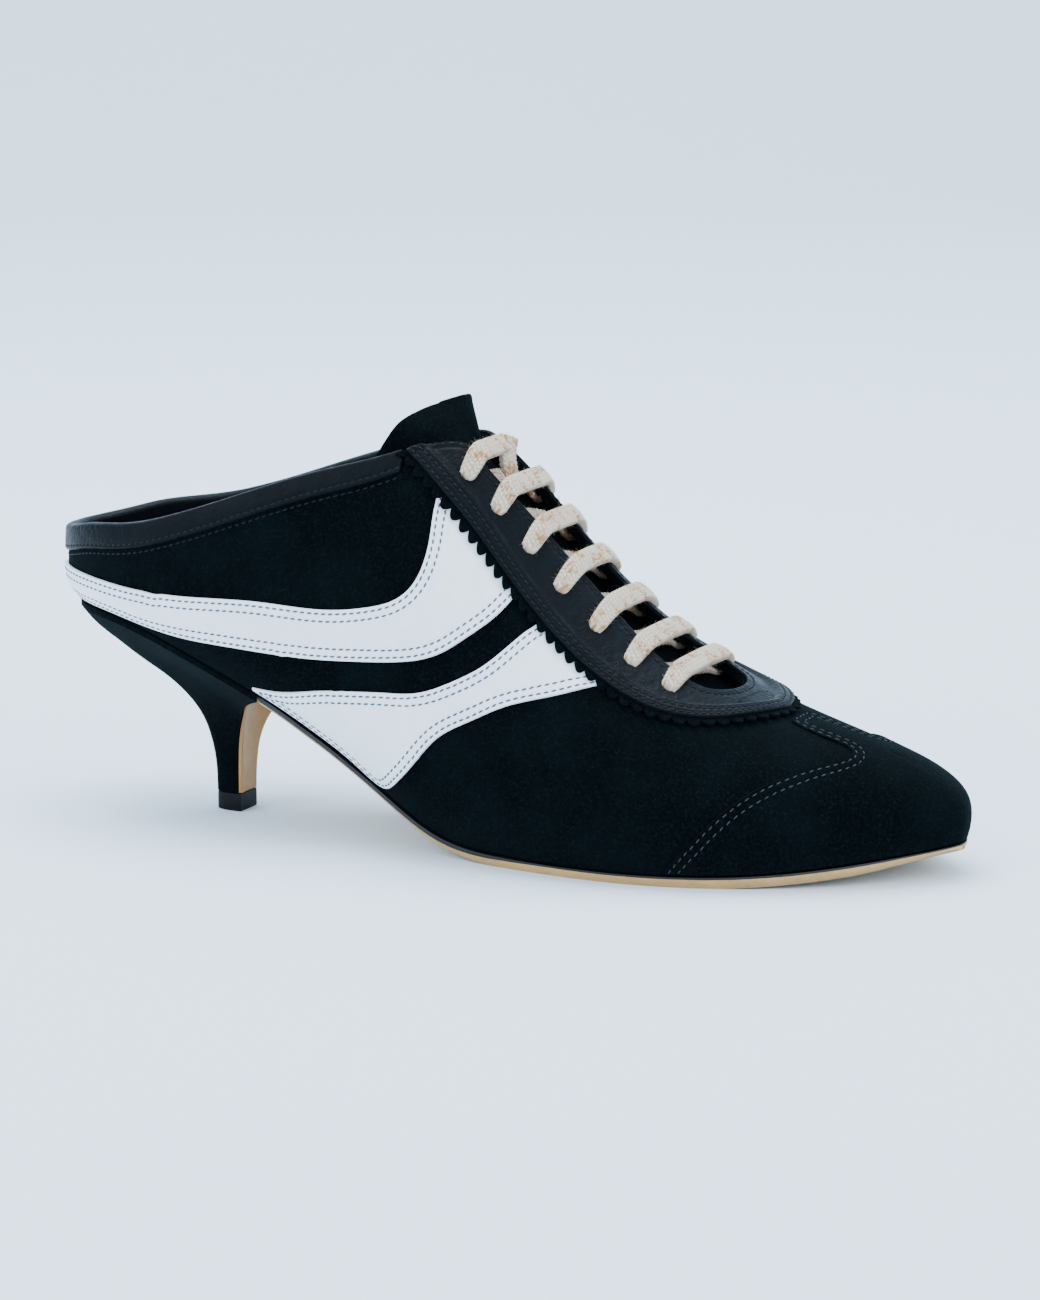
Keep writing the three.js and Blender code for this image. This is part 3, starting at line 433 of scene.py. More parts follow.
def rounded(distance: Array, radius: float) -> Array:
    """How far a face drops towards its rim, so that the rim is round."""
    x = np.clip(1 - distance / radius, 0, 1)
    return radius * (1 - np.sqrt(1 - x * x))


def groove(distance: Array, centre: float, depth: float, width: float = 0.45) -> Array:
    """Depth of the channel that a row of stitches pulls into leather."""
    return depth * np.exp(-(((distance - centre) / width) ** 2))


def ripple(points: Array, size: float, seed: int) -> Array:
    """Slow unevenness from -1 to 1.

    Args:
        points: points in millimetres.
        size: length of the waves in millimetres.
        seed: which of the patterns is taken.

    Returns:
        A value for each point.
    """
    draws = np.random.default_rng(seed)
    total = np.zeros(points.shape[:-1])
    for _ in range(5):
        direction = draws.normal(size=3)
        direction /= np.linalg.norm(direction)
        turn = 2 * np.pi * (points @ direction) / (size * draws.uniform(0.7, 1.5))
        total += np.sin(turn + draws.uniform(0, 6.28))
    return total / 5


# Finishes


class Nodes:
    """A node tree, with short calls to add and join nodes."""

    def __init__(self, tree: bpy.types.NodeTree) -> None:
        """Takes the tree."""
        self.tree = tree

    def add(self, kind: str, inputs: dict | None = None, **settings: object) -> bpy.types.Node:
        """Adds a node; inputs may be values or the sockets of other nodes."""
        node = self.tree.nodes.new(kind)
        for name, value in settings.items():
            setattr(node, name, value)
        for name, value in (inputs or {}).items():
            self.put(node.inputs[name], value)
        return node

    def put(self, socket: bpy.types.NodeSocket, value: object) -> None:
        """Sets a socket to a value, or joins it to another socket."""
        if isinstance(value, bpy.types.NodeSocket):
            self.tree.links.new(value, socket)
        else:
            socket.default_value = value


class Graph(Nodes):
    """The nodes of a material."""

    def __init__(self, name: str) -> None:
        """Starts a material of that name with one principled shader."""
        self.material = bpy.data.materials.new(name)
        self.material.use_nodes = True
        super().__init__(self.material.node_tree)
        self.shader = self.tree.nodes["Principled BSDF"]

    def set(self, **inputs: object) -> None:
        """Sets the shader's sockets; an underscore in a name stands for a space."""
        for name, value in inputs.items():
            self.put(self.shader.inputs[name.replace("_", " ")], value)

    def coords(self) -> bpy.types.NodeSocket:
        """Coordinates of the piece itself."""
        return self.add("ShaderNodeTexCoord").outputs["Object"]

    def noise(self, vector: bpy.types.NodeSocket, scale: float, detail: float = 4.0,
              rough: float = 0.55) -> bpy.types.NodeSocket:
        """Noise between 0 and 1."""
        node = self.add("ShaderNodeTexNoise", {"Vector": vector, "Scale": scale, "Detail": detail,
                                               "Roughness": rough})
        return node.outputs["Fac"]

    def ramp(self, fac: bpy.types.NodeSocket, low: float, high: float) -> bpy.types.NodeSocket:
        """The part of a value between low and high, spread over 0 to 1."""
        node = self.add("ShaderNodeMapRange", {"Value": fac, "From Min": low, "From Max": high})
        return node.outputs["Result"]

    def blend(self, fac: object, a: object, b: object) -> bpy.types.NodeSocket:
        """Colour mixed from a to b."""
        node = self.add("ShaderNodeMix", data_type="RGBA")
        self.put(node.inputs[0], fac)
        self.put(node.inputs[6], a)
        self.put(node.inputs[7], b)
        return node.outputs[2]

    def maths(self, operation: str, a: object, b: object) -> bpy.types.NodeSocket:
        """One sum of two values."""
        node = self.add("ShaderNodeMath", operation=operation)
        self.put(node.inputs[0], a)
        self.put(node.inputs[1], b)
        return node.outputs[0]

    def bump(self, height: bpy.types.NodeSocket, depth: float,
             below: bpy.types.NodeSocket | None = None) -> bpy.types.NodeSocket:
        """Relief of a real depth in metres, over another relief."""
        node = self.add("ShaderNodeBump", {"Height": height, "Distance": depth, "Strength": 1.0})
        if below is not None:
            self.put(node.inputs["Normal"], below)
        return node.outputs["Normal"]

    def attribute(self, name: str) -> bpy.types.NodeSocket:
        """A value kept on the mesh."""
        return self.add("ShaderNodeAttribute", attribute_name=name).outputs["Fac"]


Colour = tuple[float, float, float]


def rgba(colour: Colour, gain: float = 1.0) -> tuple[float, float, float, float]:
    """A colour for a socket."""
    return (*(min(c * gain, 1.0) for c in colour), 1.0)


@dataclass(frozen=True)
class Suede:
    """Napped leather: matt, with brushed lighter places and a fine fibrous relief."""

    name: str
    colour: Colour
    brushed: Colour
    sheen: float = 0.35
    nap: float = 0.00022

    def build(self) -> bpy.types.Material:
        """Makes the material."""
        graph = Graph(self.name)
        at = graph.coords()
        cloud = graph.noise(at, 55.0, 5.0, 0.6)
        fleck = graph.noise(at, 1500.0, 3.0, 0.7)
        fibre = graph.noise(at, 3600.0, 2.0, 0.6)
        tone = graph.blend(graph.ramp(cloud, 0.42, 0.72), rgba(self.colour), rgba(self.brushed))
        tone = graph.blend(graph.ramp(fleck, 0.5, 0.75), tone, rgba(self.brushed, 2.3))
        height = graph.maths("ADD", fleck, graph.maths("MULTIPLY", fibre, 0.6))
        graph.set(Base_Color=tone, Roughness=0.92, Sheen_Weight=self.sheen, Sheen_Roughness=0.45,
                  Sheen_Tint=(0.45, 0.72, 0.8, 1.0), Specular_IOR_Level=0.02,
                  Normal=graph.bump(height, self.nap))
        return graph.material


@dataclass(frozen=True)
class Grain:
    """Smooth leather with a fine pebbled grain and soft wear."""

    name: str
    colour: Colour
    worn: Colour
    roughness: float = 0.42
    pore: float = 1500.0
    relief: float = 0.00006
    shine: float = 0.45

    def build(self) -> bpy.types.Material:
        """Makes the material."""
        graph = Graph(self.name)
        at = graph.coords()
        cells = graph.add("ShaderNodeTexVoronoi", {"Vector": at, "Scale": self.pore,
                                                   "Randomness": 1.0},
                          feature="SMOOTH_F1").outputs["Distance"]
        coarse = graph.noise(at, self.pore * 0.22, 4.0, 0.6)
        cloud = graph.noise(at, 38.0, 4.0, 0.55)
        tone = graph.blend(graph.ramp(cloud, 0.35, 0.75), rgba(self.colour), rgba(self.worn))
        tone = graph.blend(graph.maths("MULTIPLY", graph.ramp(coarse, 0.35, 0.7), 0.25), tone,
                           rgba(self.colour, 0.75))
        gloss = graph.add("ShaderNodeMapRange", {
            "Value": coarse, "From Min": 0.3, "From Max": 0.7,
            "To Min": self.roughness - 0.06, "To Max": self.roughness + 0.1}).outputs["Result"]
        fine = graph.bump(cells, self.relief)
        graph.set(Base_Color=tone, Roughness=gloss, Specular_IOR_Level=self.shine,
                  Normal=graph.bump(coarse, self.relief * 2.2, fine))
        return graph.material


@dataclass(frozen=True)
class CutEdge:
    """The raw cut side of leather: fibrous and a little uneven."""

    name: str
    colour: Colour
    fibre: Colour

    def build(self) -> bpy.types.Material:
        """Makes the material."""
        graph = Graph(self.name)
        at = graph.coords()
        strands = graph.noise(at, 2600.0, 3.0, 0.7)
        tone = graph.blend(graph.ramp(strands, 0.4, 0.65), rgba(self.colour), rgba(self.fibre))
        graph.set(Base_Color=tone, Roughness=0.85, Specular_IOR_Level=0.2,
                  Normal=graph.bump(strands, 0.00012))
        return graph.material


@dataclass(frozen=True)
class SoleLeather:
    """Tan sole leather whose side is stained dark above a line kept on the mesh."""

    name: str
    tan: Colour
    dark: Colour
    under: Colour

    def build(self) -> bpy.types.Material:
        """Makes the material."""
        graph = Graph(self.name)
        at = graph.coords()
        stretch = graph.add("ShaderNodeMapping", {"Vector": at, "Scale": (0.35, 1.0, 2.5)})
        streaks = graph.noise(stretch.outputs["Vector"], 900.0, 4.0, 0.6)
        cloud = graph.noise(at, 70.0, 3.0, 0.5)
        tan = graph.blend(graph.ramp(streaks, 0.35, 0.75), rgba(self.tan), rgba(self.tan, 0.72))
        tan = graph.blend(graph.ramp(cloud, 0.5, 0.8), tan, rgba(self.tan, 1.15))
        scuff = graph.noise(at, 240.0, 5.0, 0.65)
        under = graph.blend(graph.ramp(scuff, 0.45, 0.75), rgba(self.under), rgba(self.under, 0.8))
        level = graph.attribute("level")
        line = graph.attribute("stain_line")
        wobble = graph.maths("MULTIPLY", graph.noise(at, 320.0, 2.0), 0.05)
        stained = graph.maths("LESS_THAN", graph.maths("ADD", level, wobble), line)
        tone = graph.blend(graph.maths("GREATER_THAN", level, 1.05), tan, under)
        tone = graph.blend(stained, tone, rgba(self.dark))
        graph.set(Base_Color=tone, Roughness=0.46, Specular_IOR_Level=0.4,
                  Normal=graph.bump(streaks, 0.00005))
        return graph.material


@dataclass(frozen=True)
class Rubber:
    """Hard dark rubber with a faint moulded texture."""

    name: str
    colour: Colour

    def build(self) -> bpy.types.Material:
        """Makes the material."""
        graph = Graph(self.name)
        at = graph.coords()
        speck = graph.noise(at, 1900.0, 3.0, 0.6)
        cloud = graph.noise(at, 160.0, 3.0, 0.6)
        tone = graph.blend(graph.ramp(cloud, 0.4, 0.7), rgba(self.colour), rgba(self.colour, 1.6))
        graph.set(Base_Color=tone, Roughness=0.55, Specular_IOR_Level=0.12,
                  Normal=graph.bump(speck, 0.00005))
        return graph.material


@dataclass(frozen=True)
class BraidCotton:
    """Cotton lace: cream yarn with rust-coloured flecks woven in, and painted shade in the braid's
    hollows.
    """

    name: str
    yarn: Colour
    # Colour of the painted shade in the braid's hollows.
    shade: Colour
    fleck: Colour

    def build(self) -> bpy.types.Material:
        """Makes the material."""
        graph = Graph(self.name)
        uv = graph.add("ShaderNodeTexCoord").outputs["UV"]
        at = graph.coords()
        stretch = graph.add("ShaderNodeMapping", {"Vector": uv, "Scale": (1.0, 0.7, 1.0)})
        patches = graph.noise(stretch.outputs["Vector"], 260.0, 2.0, 0.45)
        twist = graph.add("ShaderNodeMapping", {"Vector": uv, "Rotation": (0.0, 0.0, 0.7),
                                                "Scale": (0.45, 1.5, 1.0)})
        yarns = graph.noise(twist.outputs["Vector"], 1100.0, 2.0, 0.5)
        speck = graph.maths("MULTIPLY", graph.ramp(patches, 0.49, 0.56),
                            graph.ramp(yarns, 0.46, 0.54))
        hairs = graph.noise(at, 5200.0, 2.0, 0.6)
        # Painted shade: the yarn colour is darkened towards the shade colour by the depth of each
        # hollow of the braid.
        low = graph.attribute("hollow")
        tone = graph.blend(graph.ramp(graph.noise(at, 700.0, 2.0), 0.35, 0.7), rgba(self.yarn),
                           rgba(self.yarn, 0.84))
        tone = graph.blend(speck, tone, rgba(self.fleck))
        tone = graph.blend(graph.maths("MULTIPLY", low, 0.62), tone, rgba(self.shade))
        graph.set(Base_Color=tone, Roughness=0.95, Sheen_Weight=0.25, Sheen_Roughness=0.5,
                  Specular_IOR_Level=0.15, Normal=graph.bump(hairs, 0.00012))
        return graph.material


@dataclass(frozen=True)
class Thread:
    """Sewing thread, twisted, with a soft shine."""

    name: str
    colour: Colour
    roughness: float = 0.5

    def build(self) -> bpy.types.Material:
        """Makes the material."""
        graph = Graph(self.name)
        at = graph.coords()
        strands = graph.noise(at, 3800.0, 1.0, 0.5)
        tone = graph.blend(graph.ramp(strands, 0.4, 0.6), rgba(self.colour), rgba(self.colour, 0.7))
        graph.set(Base_Color=tone, Roughness=self.roughness, Specular_IOR_Level=0.14,
                  Normal=graph.bump(strands, 0.00008))
        return graph.material


@dataclass(frozen=True)
class Paper:
    """Matt pale surface of the studio floor."""

    name: str
    colour: Colour

    def build(self) -> bpy.types.Material:
        """Makes the material."""
        graph = Graph(self.name)
        at = graph.coords()
        cloud = graph.noise(at, 3.0, 2.0, 0.5)
        tone = graph.blend(cloud, rgba(self.colour), rgba(self.colour, 1.02))
        graph.set(Base_Color=tone, Roughness=0.9, Specular_IOR_Level=0.1)
        return graph.material


class Cupboard:
    """Every finish of the shoe, made once."""

    def __init__(self) -> None:
        """Makes the materials."""
        self.suede = Suede("black_suede", (0.0007, 0.0016, 0.0021), (0.0015, 0.0035, 0.0044),
                           sheen=0.018).build()
        self.suede_raw = CutEdge("suede_cut_edge", (0.012, 0.017, 0.020),
                                 (0.05, 0.06, 0.068)).build()
        self.smooth = Grain("smooth_black_leather", (0.0022, 0.0036, 0.0050),
                            (0.0050, 0.0064, 0.0080), roughness=0.34, relief=0.00010,
                            shine=0.05).build()
        self.smooth_edge = CutEdge("black_cut_edge", (0.06, 0.075, 0.09),
                                   (0.17, 0.20, 0.23)).build()
        self.suede_panel = (self.suede, self.suede_raw, self.suede)
        self.smooth_panel = (self.smooth, self.smooth_edge, self.smooth)
        self.white = Grain("white_leather", (0.90, 0.94, 0.99), (0.85, 0.90, 0.97), roughness=0.45,
                           pore=1300.0, relief=0.00004, shine=0.3).build()
        self.cream_edge = CutEdge("cream_cut_edge", (0.66, 0.56, 0.32), (0.80, 0.74, 0.52)).build()
        self.lining = Grain("lining_leather", (0.004, 0.006, 0.010), (0.007, 0.010, 0.016),
                            roughness=0.32, pore=1100.0, relief=0.00005, shine=0.3).build()
        self.sole = SoleLeather("sole_leather", (0.52, 0.30, 0.115), (0.006, 0.006, 0.007),
                                (0.44, 0.27, 0.12)).build()
        self.breast = Grain("breast_leather", (0.36, 0.18, 0.060), (0.42, 0.22, 0.080),
                            roughness=0.48, pore=1700.0, relief=0.00003, shine=0.25).build()
        self.rubber = Rubber("tip_rubber", (0.0025, 0.003, 0.004)).build()
        # The lace's second colour is the painted shade laid into the hollows of the braid.
        self.lace = BraidCotton("lace_cotton", (0.78, 0.69, 0.54), (0.24, 0.16, 0.09),
                                (0.48, 0.175, 0.032)).build()
        self.dark_thread = Thread("dark_thread", (0.005, 0.0065, 0.009), 0.45).build()
        self.black_thread = Thread("black_thread", (0.0015, 0.002, 0.0025), 0.6).build()
        self.grey_thread = Thread("grey_thread", (0.030, 0.038, 0.043), 0.5).build()
        self.pale_thread = Thread("pale_thread", (0.085, 0.115, 0.185), 0.5).build()
        self.floor = Paper("studio_floor", (0.80, 0.90, 0.99)).build()


# Meshes


def make_piece(name: str, mesh: bpy.types.Mesh, finishes: Sequence[bpy.types.Material],
               stands_for: Sequence[str] = (), sharp: float = 42.0) -> bpy.types.Object:
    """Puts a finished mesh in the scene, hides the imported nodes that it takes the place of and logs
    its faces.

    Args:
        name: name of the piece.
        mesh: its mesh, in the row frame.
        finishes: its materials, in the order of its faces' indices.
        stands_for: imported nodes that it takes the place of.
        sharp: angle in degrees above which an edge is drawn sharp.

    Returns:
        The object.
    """
    mesh.materials.clear()
    for finish in finishes:
        mesh.materials.append(finish)
    mesh.polygons.foreach_set("use_smooth", np.ones(len(mesh.polygons), bool))
    mesh.set_sharp_from_angle(angle=math.radians(sharp))
    mesh.update()
    piece = bpy.data.objects.new(name, mesh)
    bpy.context.scene.collection.objects.link(piece)
    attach(piece, "root")
    if stands_for:
        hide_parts(*stands_for)
    LOG.info("%s: %d faces", name, len(mesh.polygons))
    return piece


@dataclass
class Body:
    """Points and faces of one closed body while it is put together."""

    points: list[Array] = field(default_factory=list)
    faces: list[tuple[int, ...]] = field(default_factory=list)
    zones: list[int] = field(default_factory=list)
    maps: list[Array] = field(default_factory=list)
    values: dict[str, list[Array]] = field(default_factory=dict)
    count: int = 0

    def take(self, grid: Array, uv: Array | None = None, **values: Array) -> Array:
        """Adds a grid of points.

        Args:
            grid: points in millimetres, x y z last.
            uv: places on the surface for patterns, in millimetres.
            **values: numbers kept on the points.

        Returns:
            Index of each point.
        """
        shape = grid.shape[:-1]
        size = int(np.prod(shape))
        index = np.arange(self.count, self.count + size).reshape(shape)
        self.points.append(grid.reshape(-1, 3))
        self.maps.append(np.zeros((size, 2)) if uv is None else uv.reshape(-1, 2))
        for name in set(self.values) | set(values):
            held = self.values.setdefault(name, [np.zeros(self.count)])
            given = values.get(name)
            held.append(np.zeros(size) if given is None
                        else np.broadcast_to(given, shape).reshape(-1))
        self.count += size
        return index

    def skin(self, index: Array, zone: Zone, flip: bool = False) -> None:
        """Adds the faces of a grid."""
        a, b, c, d = index[:-1, :-1], index[1:, :-1], index[1:, 1:], index[:-1, 1:]
        order = (a, d, c, b) if flip else (a, b, c, d)
        quads = np.stack([part.reshape(-1) for part in order], -1)
        self.faces.extend(map(tuple, quads.tolist()))
        self.zones.extend([zone.value] * len(quads))

    def bridge(self, first: Array, second: Array, zone: Zone) -> None:
        """Adds faces between two lines of points."""
        self.skin(np.stack([first, second]), zone)

    def polygon(self, index: Sequence[int], zone: Zone) -> None:
        """Adds one face."""
        self.faces.append(tuple(int(i) for i in index))
        self.zones.append(zone.value)

    def mesh(self, name: str) -> bpy.types.Mesh:
        """Makes the mesh: doubles merged, faces turned outwards."""
        mesh = bpy.data.meshes.new(name)
        mesh.from_pydata(to_row(np.concatenate(self.points)).tolist(), [], self.faces)
        mesh.polygons.foreach_set("material_index", np.array(self.zones, np.int32))
        layer = mesh.uv_layers.new(name="surface")
        corners = np.empty(len(mesh.loops), np.int32)
        mesh.loops.foreach_get("vertex_index", corners)
        layer.data.foreach_set("uv", (np.concatenate(self.maps) * MM)[corners].astype(
            np.float32).ravel())
        for key, parts in self.values.items():
            kept = mesh.attributes.new(key, "FLOAT", "POINT")
            kept.data.foreach_set("value", np.concatenate(parts).astype(np.float32))
        work = bmesh.new()
        work.from_mesh(mesh)
        bmesh.ops.remove_doubles(work, verts=work.verts, dist=1.5e-6)
        bmesh.ops.recalc_face_normals(work, faces=work.faces)
        work.to_mesh(mesh)
        work.free()
        return mesh


def surface_map(grid: Array) -> Array:
    """Distances run along the rows and the columns of a grid, for patterns."""
    along = np.zeros(grid.shape[:2])
    along[1:] = np.cumsum(np.linalg.norm(np.diff(grid, axis=0), axis=-1), axis=0)
    across = np.zeros(grid.shape[:2])
    across[:, 1:] = np.cumsum(np.linalg.norm(np.diff(grid, axis=1), axis=-1), axis=1)
    return np.stack([along.mean(1)[:, None] * np.ones_like(along), across], -1)


def walled(outer: Array, inner: Array, rims: str = "low high first last",
           raw: Array | None = None) -> Body:
    """A walled sheet between two grids.

    Args:
        outer: points of the face.
        inner: points of the back.
        rims: which rims are closed; first and last end the rows, low and high the columns.
        raw: points of the face whose leather is cut.

    Returns:
        The body.
    """
    body = Body()
    top = body.take(outer, surface_map(outer))
    back = body.take(inner, surface_map(inner))
    body.skin(top, Zone.FACE)
    if raw is not None:
        cut = raw[:-1, :-1] & raw[1:, :-1] & raw[1:, 1:] & raw[:-1, 1:]
        body.zones = np.where(cut.reshape(-1), Zone.RIM.value, Zone.FACE.value).tolist()
    body.skin(back, Zone.BACK, flip=True)
    lines = {"low": (top[:, 0], back[:, 0]), "high": (top[:, -1], back[:, -1]),
             "first": (top[0], back[0]), "last": (top[-1], back[-1])}
    for name in rims.split():
        body.bridge(*lines[name], Zone.RIM)
    return body


def sheet(places: Places, low: float, high: Array | float, reach: Array, round_off: float = 0.35,
          rows: Sequence[float] = (), depth: float = 0.14, raw: float = 0.0,
          rims: str = "low high first last") -> Body:
    """A flexible panel that lies on the shoe.

    Args:
        places: its grid of places on the last.
        low: distance of its back from the last.
        high: distance of its face from the last.
        reach: distance of each place from the nearest free edge.
        round_off: radius of the rounding of the edges.
        rows: distances from the edges of the rows of stitches.
        depth: depth of the channel under a row.
        raw: how far the cut leather shows at an edge.
        rims: which rims are closed.

    Returns:
        The body.
    """
    top = high - rounded(reach, round_off) + 0.05 * ripple(LAST.skin(places, high), 16.0, 3)
    for row in rows:
        top = top - groove(reach, row, depth)
    return walled(LAST.skin(places, top), LAST.skin(places, low), rims, raw=reach < raw)


# Distance that a row of stitches keeps from an edge which it doesn't follow.
ROW_CLEAR = 0.9


def contour(places: Places, reach: Array, distance: float, others: Array | None = None) -> Places:
    """The line over a grid that lies at a distance from an edge.

    Args:
        places: the grid; its columns run away from the edge.
        reach: distance of each place from that edge.
        distance: distance of the line.
        others: distance of each place from the other edges, which the line keeps clear of.

    Returns:
        Places along the line.
    """
    found = []
    for i, row in enumerate(np.maximum.accumulate(reach, axis=1)):
        if row[-1] <= distance:
            continue
        column = np.interp(distance, row, np.arange(len(row)))
        at = [np.interp(column, np.arange(len(row)), values[i])
              for values in (places.station, places.girth)]
        if others is None or np.interp(column, np.arange(len(row)), others[i]) > ROW_CLEAR:
            found.append((*at, places.side[i, 0]))
    return Places(*(np.array(values) for values in zip(*found)))


# Stitches and fibres, by Geometry Nodes


class Tree(Nodes):
    """A Geometry Nodes tree that ends in one finish."""

    def __init__(self, name: str, inputs: dict[str, tuple[str, object]]) -> None:
        """Starts a tree.

        Args:
            name: its name.
            inputs: each named input's kind of socket and value.
        """
        super().__init__(bpy.data.node_groups.new(name, "GeometryNodeTree"))
        self.tree.interface.new_socket("Geometry", in_out="INPUT", socket_type="NodeSocketGeometry")
        for key, (kind, value) in inputs.items():
            socket = self.tree.interface.new_socket(key, in_out="INPUT", socket_type=kind)
            if value is not None:
                socket.default_value = value
        self.tree.interface.new_socket("Geometry", in_out="OUTPUT",
                                       socket_type="NodeSocketGeometry")
        self.entry = self.add("NodeGroupInput")
        self.exit = self.add("NodeGroupOutput")

    def close(self, geometry: bpy.types.NodeSocket) -> None:
        """Realizes the instances, gives them the material input and ends the tree."""
        real = self.add("GeometryNodeRealizeInstances", {"Geometry": geometry})
        finish = self.add("GeometryNodeSetMaterial", {
            "Geometry": real.outputs["Geometry"], "Material": self.entry.outputs["Material"]})
        self.tree.links.new(finish.outputs["Geometry"], self.exit.inputs[0])

    def run(self, mesh: bpy.types.Mesh, values: dict[str, object]) -> bpy.types.Mesh:
        """Applies the tree to a mesh.

        Args:
            mesh: what it starts from.
            values: values of its named inputs.

        Returns:
            The result as a plain mesh.
        """
        carrier = bpy.data.objects.new("carrier", mesh)
        bpy.context.scene.collection.objects.link(carrier)
        modifier = carrier.modifiers.new("nodes", "NODES")
        modifier.node_group = self.tree
        for item in self.tree.interface.items_tree:
            if item.in_out == "INPUT" and item.name in values:
                modifier[item.identifier] = values[item.name]
        graph = bpy.context.evaluated_depsgraph_get()
        made = bpy.data.meshes.new_from_object(carrier.evaluated_get(graph), depsgraph=graph)
        carrier.modifiers.remove(modifier)
        bpy.data.objects.remove(carrier)
        return made


def stitch_tree() -> Tree:
    """Tree that lays one stitch on every point, along its run vector and on its up vector."""
    tree = Tree("stitches", {
        "Length": ("NodeSocketFloat", 0.0018), "Width": ("NodeSocketFloat", 0.0005),
        "Height": ("NodeSocketFloat", 0.0004), "Material": ("NodeSocketMaterial", None)})
    bead = tree.add("GeometryNodeMeshIcoSphere", {"Radius": 0.5, "Subdivisions": 2})
    size = tree.add("ShaderNodeCombineXYZ", {
        "X": tree.entry.outputs["Length"], "Y": tree.entry.outputs["Width"],
        "Z": tree.entry.outputs["Height"]})
    shaped = tree.add("GeometryNodeTransform", {
        "Geometry": bead.outputs["Mesh"], "Scale": size.outputs["Vector"]})
    run = tree.add("GeometryNodeInputNamedAttribute", {"Name": "run"}, data_type="FLOAT_VECTOR")
    rise = tree.add("GeometryNodeInputNamedAttribute", {"Name": "rise"}, data_type="FLOAT_VECTOR")
    first = tree.add("FunctionNodeAlignRotationToVector", {"Vector": run.outputs["Attribute"]},
                     axis="X")
    second = tree.add("FunctionNodeAlignRotationToVector", {
        "Rotation": first.outputs["Rotation"], "Vector": rise.outputs["Attribute"]},
        axis="Z", pivot_axis="X")
    laid = tree.add("GeometryNodeInstanceOnPoints", {
        "Points": tree.entry.outputs["Geometry"], "Instance": shaped.outputs["Geometry"],
        "Rotation": second.outputs["Rotation"]})
    tree.close(laid.outputs["Instances"])
    return tree


def fuzz_tree() -> Tree:
    """Tree that scatters short loose fibres over a surface."""
    tree = Tree("fuzz", {
        "Density": ("NodeSocketFloat", 1e5), "Fibre": ("NodeSocketFloat", 0.0006),
        "Radius": ("NodeSocketFloat", 0.00002), "Material": ("NodeSocketMaterial", None)})
    spread = tree.add("GeometryNodeDistributePointsOnFaces", {
        "Mesh": tree.entry.outputs["Geometry"], "Density": tree.entry.outputs["Density"], "Seed": 7})
    hair = tree.add("GeometryNodeMeshCone", {
        "Vertices": 3, "Radius Top": 0.0, "Radius Bottom": tree.entry.outputs["Radius"],
        "Depth": tree.entry.outputs["Fibre"]})
    tilt = tree.add("FunctionNodeRandomValue", {"Min": (-1.1, -1.1, 0.0), "Max": (1.1, 1.1, 3.1),
                                                "Seed": 11}, data_type="FLOAT_VECTOR")
    turn = tree.add("FunctionNodeEulerToRotation", {"Euler": tilt.outputs["Value"]})
    both = tree.add("FunctionNodeRotateRotation", {
        "Rotation": spread.outputs["Rotation"], "Rotate By": turn.outputs["Rotation"]},
        rotation_space="LOCAL")
    long = tree.add("FunctionNodeRandomValue", {"Seed": 13}, data_type="FLOAT")
    long.inputs[2].default_value, long.inputs[3].default_value = 0.4, 1.5
    placed = tree.add("GeometryNodeInstanceOnPoints", {
        "Points": spread.outputs["Points"], "Instance": hair.outputs["Mesh"],
        "Rotation": both.outputs["Rotation"], "Scale": long.outputs[1]})
    tree.close(placed.outputs["Instances"])
    return tree


@dataclass
class Stitcher:
    """Collects rows of stitches and makes each group one piece."""

    pitch: float = 2.0
    fill: float = 0.78
    width: float = 0.42
    height: float = 0.34
    slant: float = 0.10
    sink: float = 0.02
    places: list[Array] = field(default_factory=list)
    runs: list[Array] = field(default_factory=list)
    rises: list[Array] = field(default_factory=list)

    def row(self, path: Places, off: Array | float) -> None:
        """Adds a row along a path over the last, at a distance from it."""
        self.line(LAST.skin(path, np.broadcast_to(off, path.station.shape)), LAST.normals(path))

    def line(self, points: Array, normals: Array) -> None:
        """Adds a row along points with their outward directions."""
        run = path_lengths(points)
        count = max(int(run[-1] / self.pitch), 1)
        marks = (np.arange(count) + 0.5) * run[-1] / count
        at, ahead, behind = (sample(marks + shift, run, points) for shift in (0.0, 0.4, -0.4))
        up = unit(sample(marks, run, normals))
        along = unit(ahead - behind)
        across = np.cross(up, along)
        draws = np.random.default_rng(count)
        lean = self.slant + 0.05 * draws.standard_normal(count)
        self.places.append(at - up * self.sink)
        self.runs.append(unit(along + across * lean[:, None]))
        self.rises.append(up)

    def piece(self, name: str, tree: Tree, finish: bpy.types.Material, slot: str) -> None:
        """Makes the rows one piece."""
        points = to_row(np.concatenate(self.places))
        mesh = bpy.data.meshes.new(name)
        mesh.from_pydata(points.tolist(), [], [])
        for key, parts in (("run", self.runs), ("rise", self.rises)):
            layer = mesh.attributes.new(key, "FLOAT_VECTOR", "POINT")
            layer.data.foreach_set("vector", np.concatenate(parts).astype(np.float32).ravel())
        made = tree.run(mesh, {"Length": self.pitch * self.fill * MM, "Width": self.width * MM,
                               "Height": self.height * MM, "Material": finish})
        made.name = name
        make_piece(name, made, [finish], sharp=180.0)


# Parts of the shoe


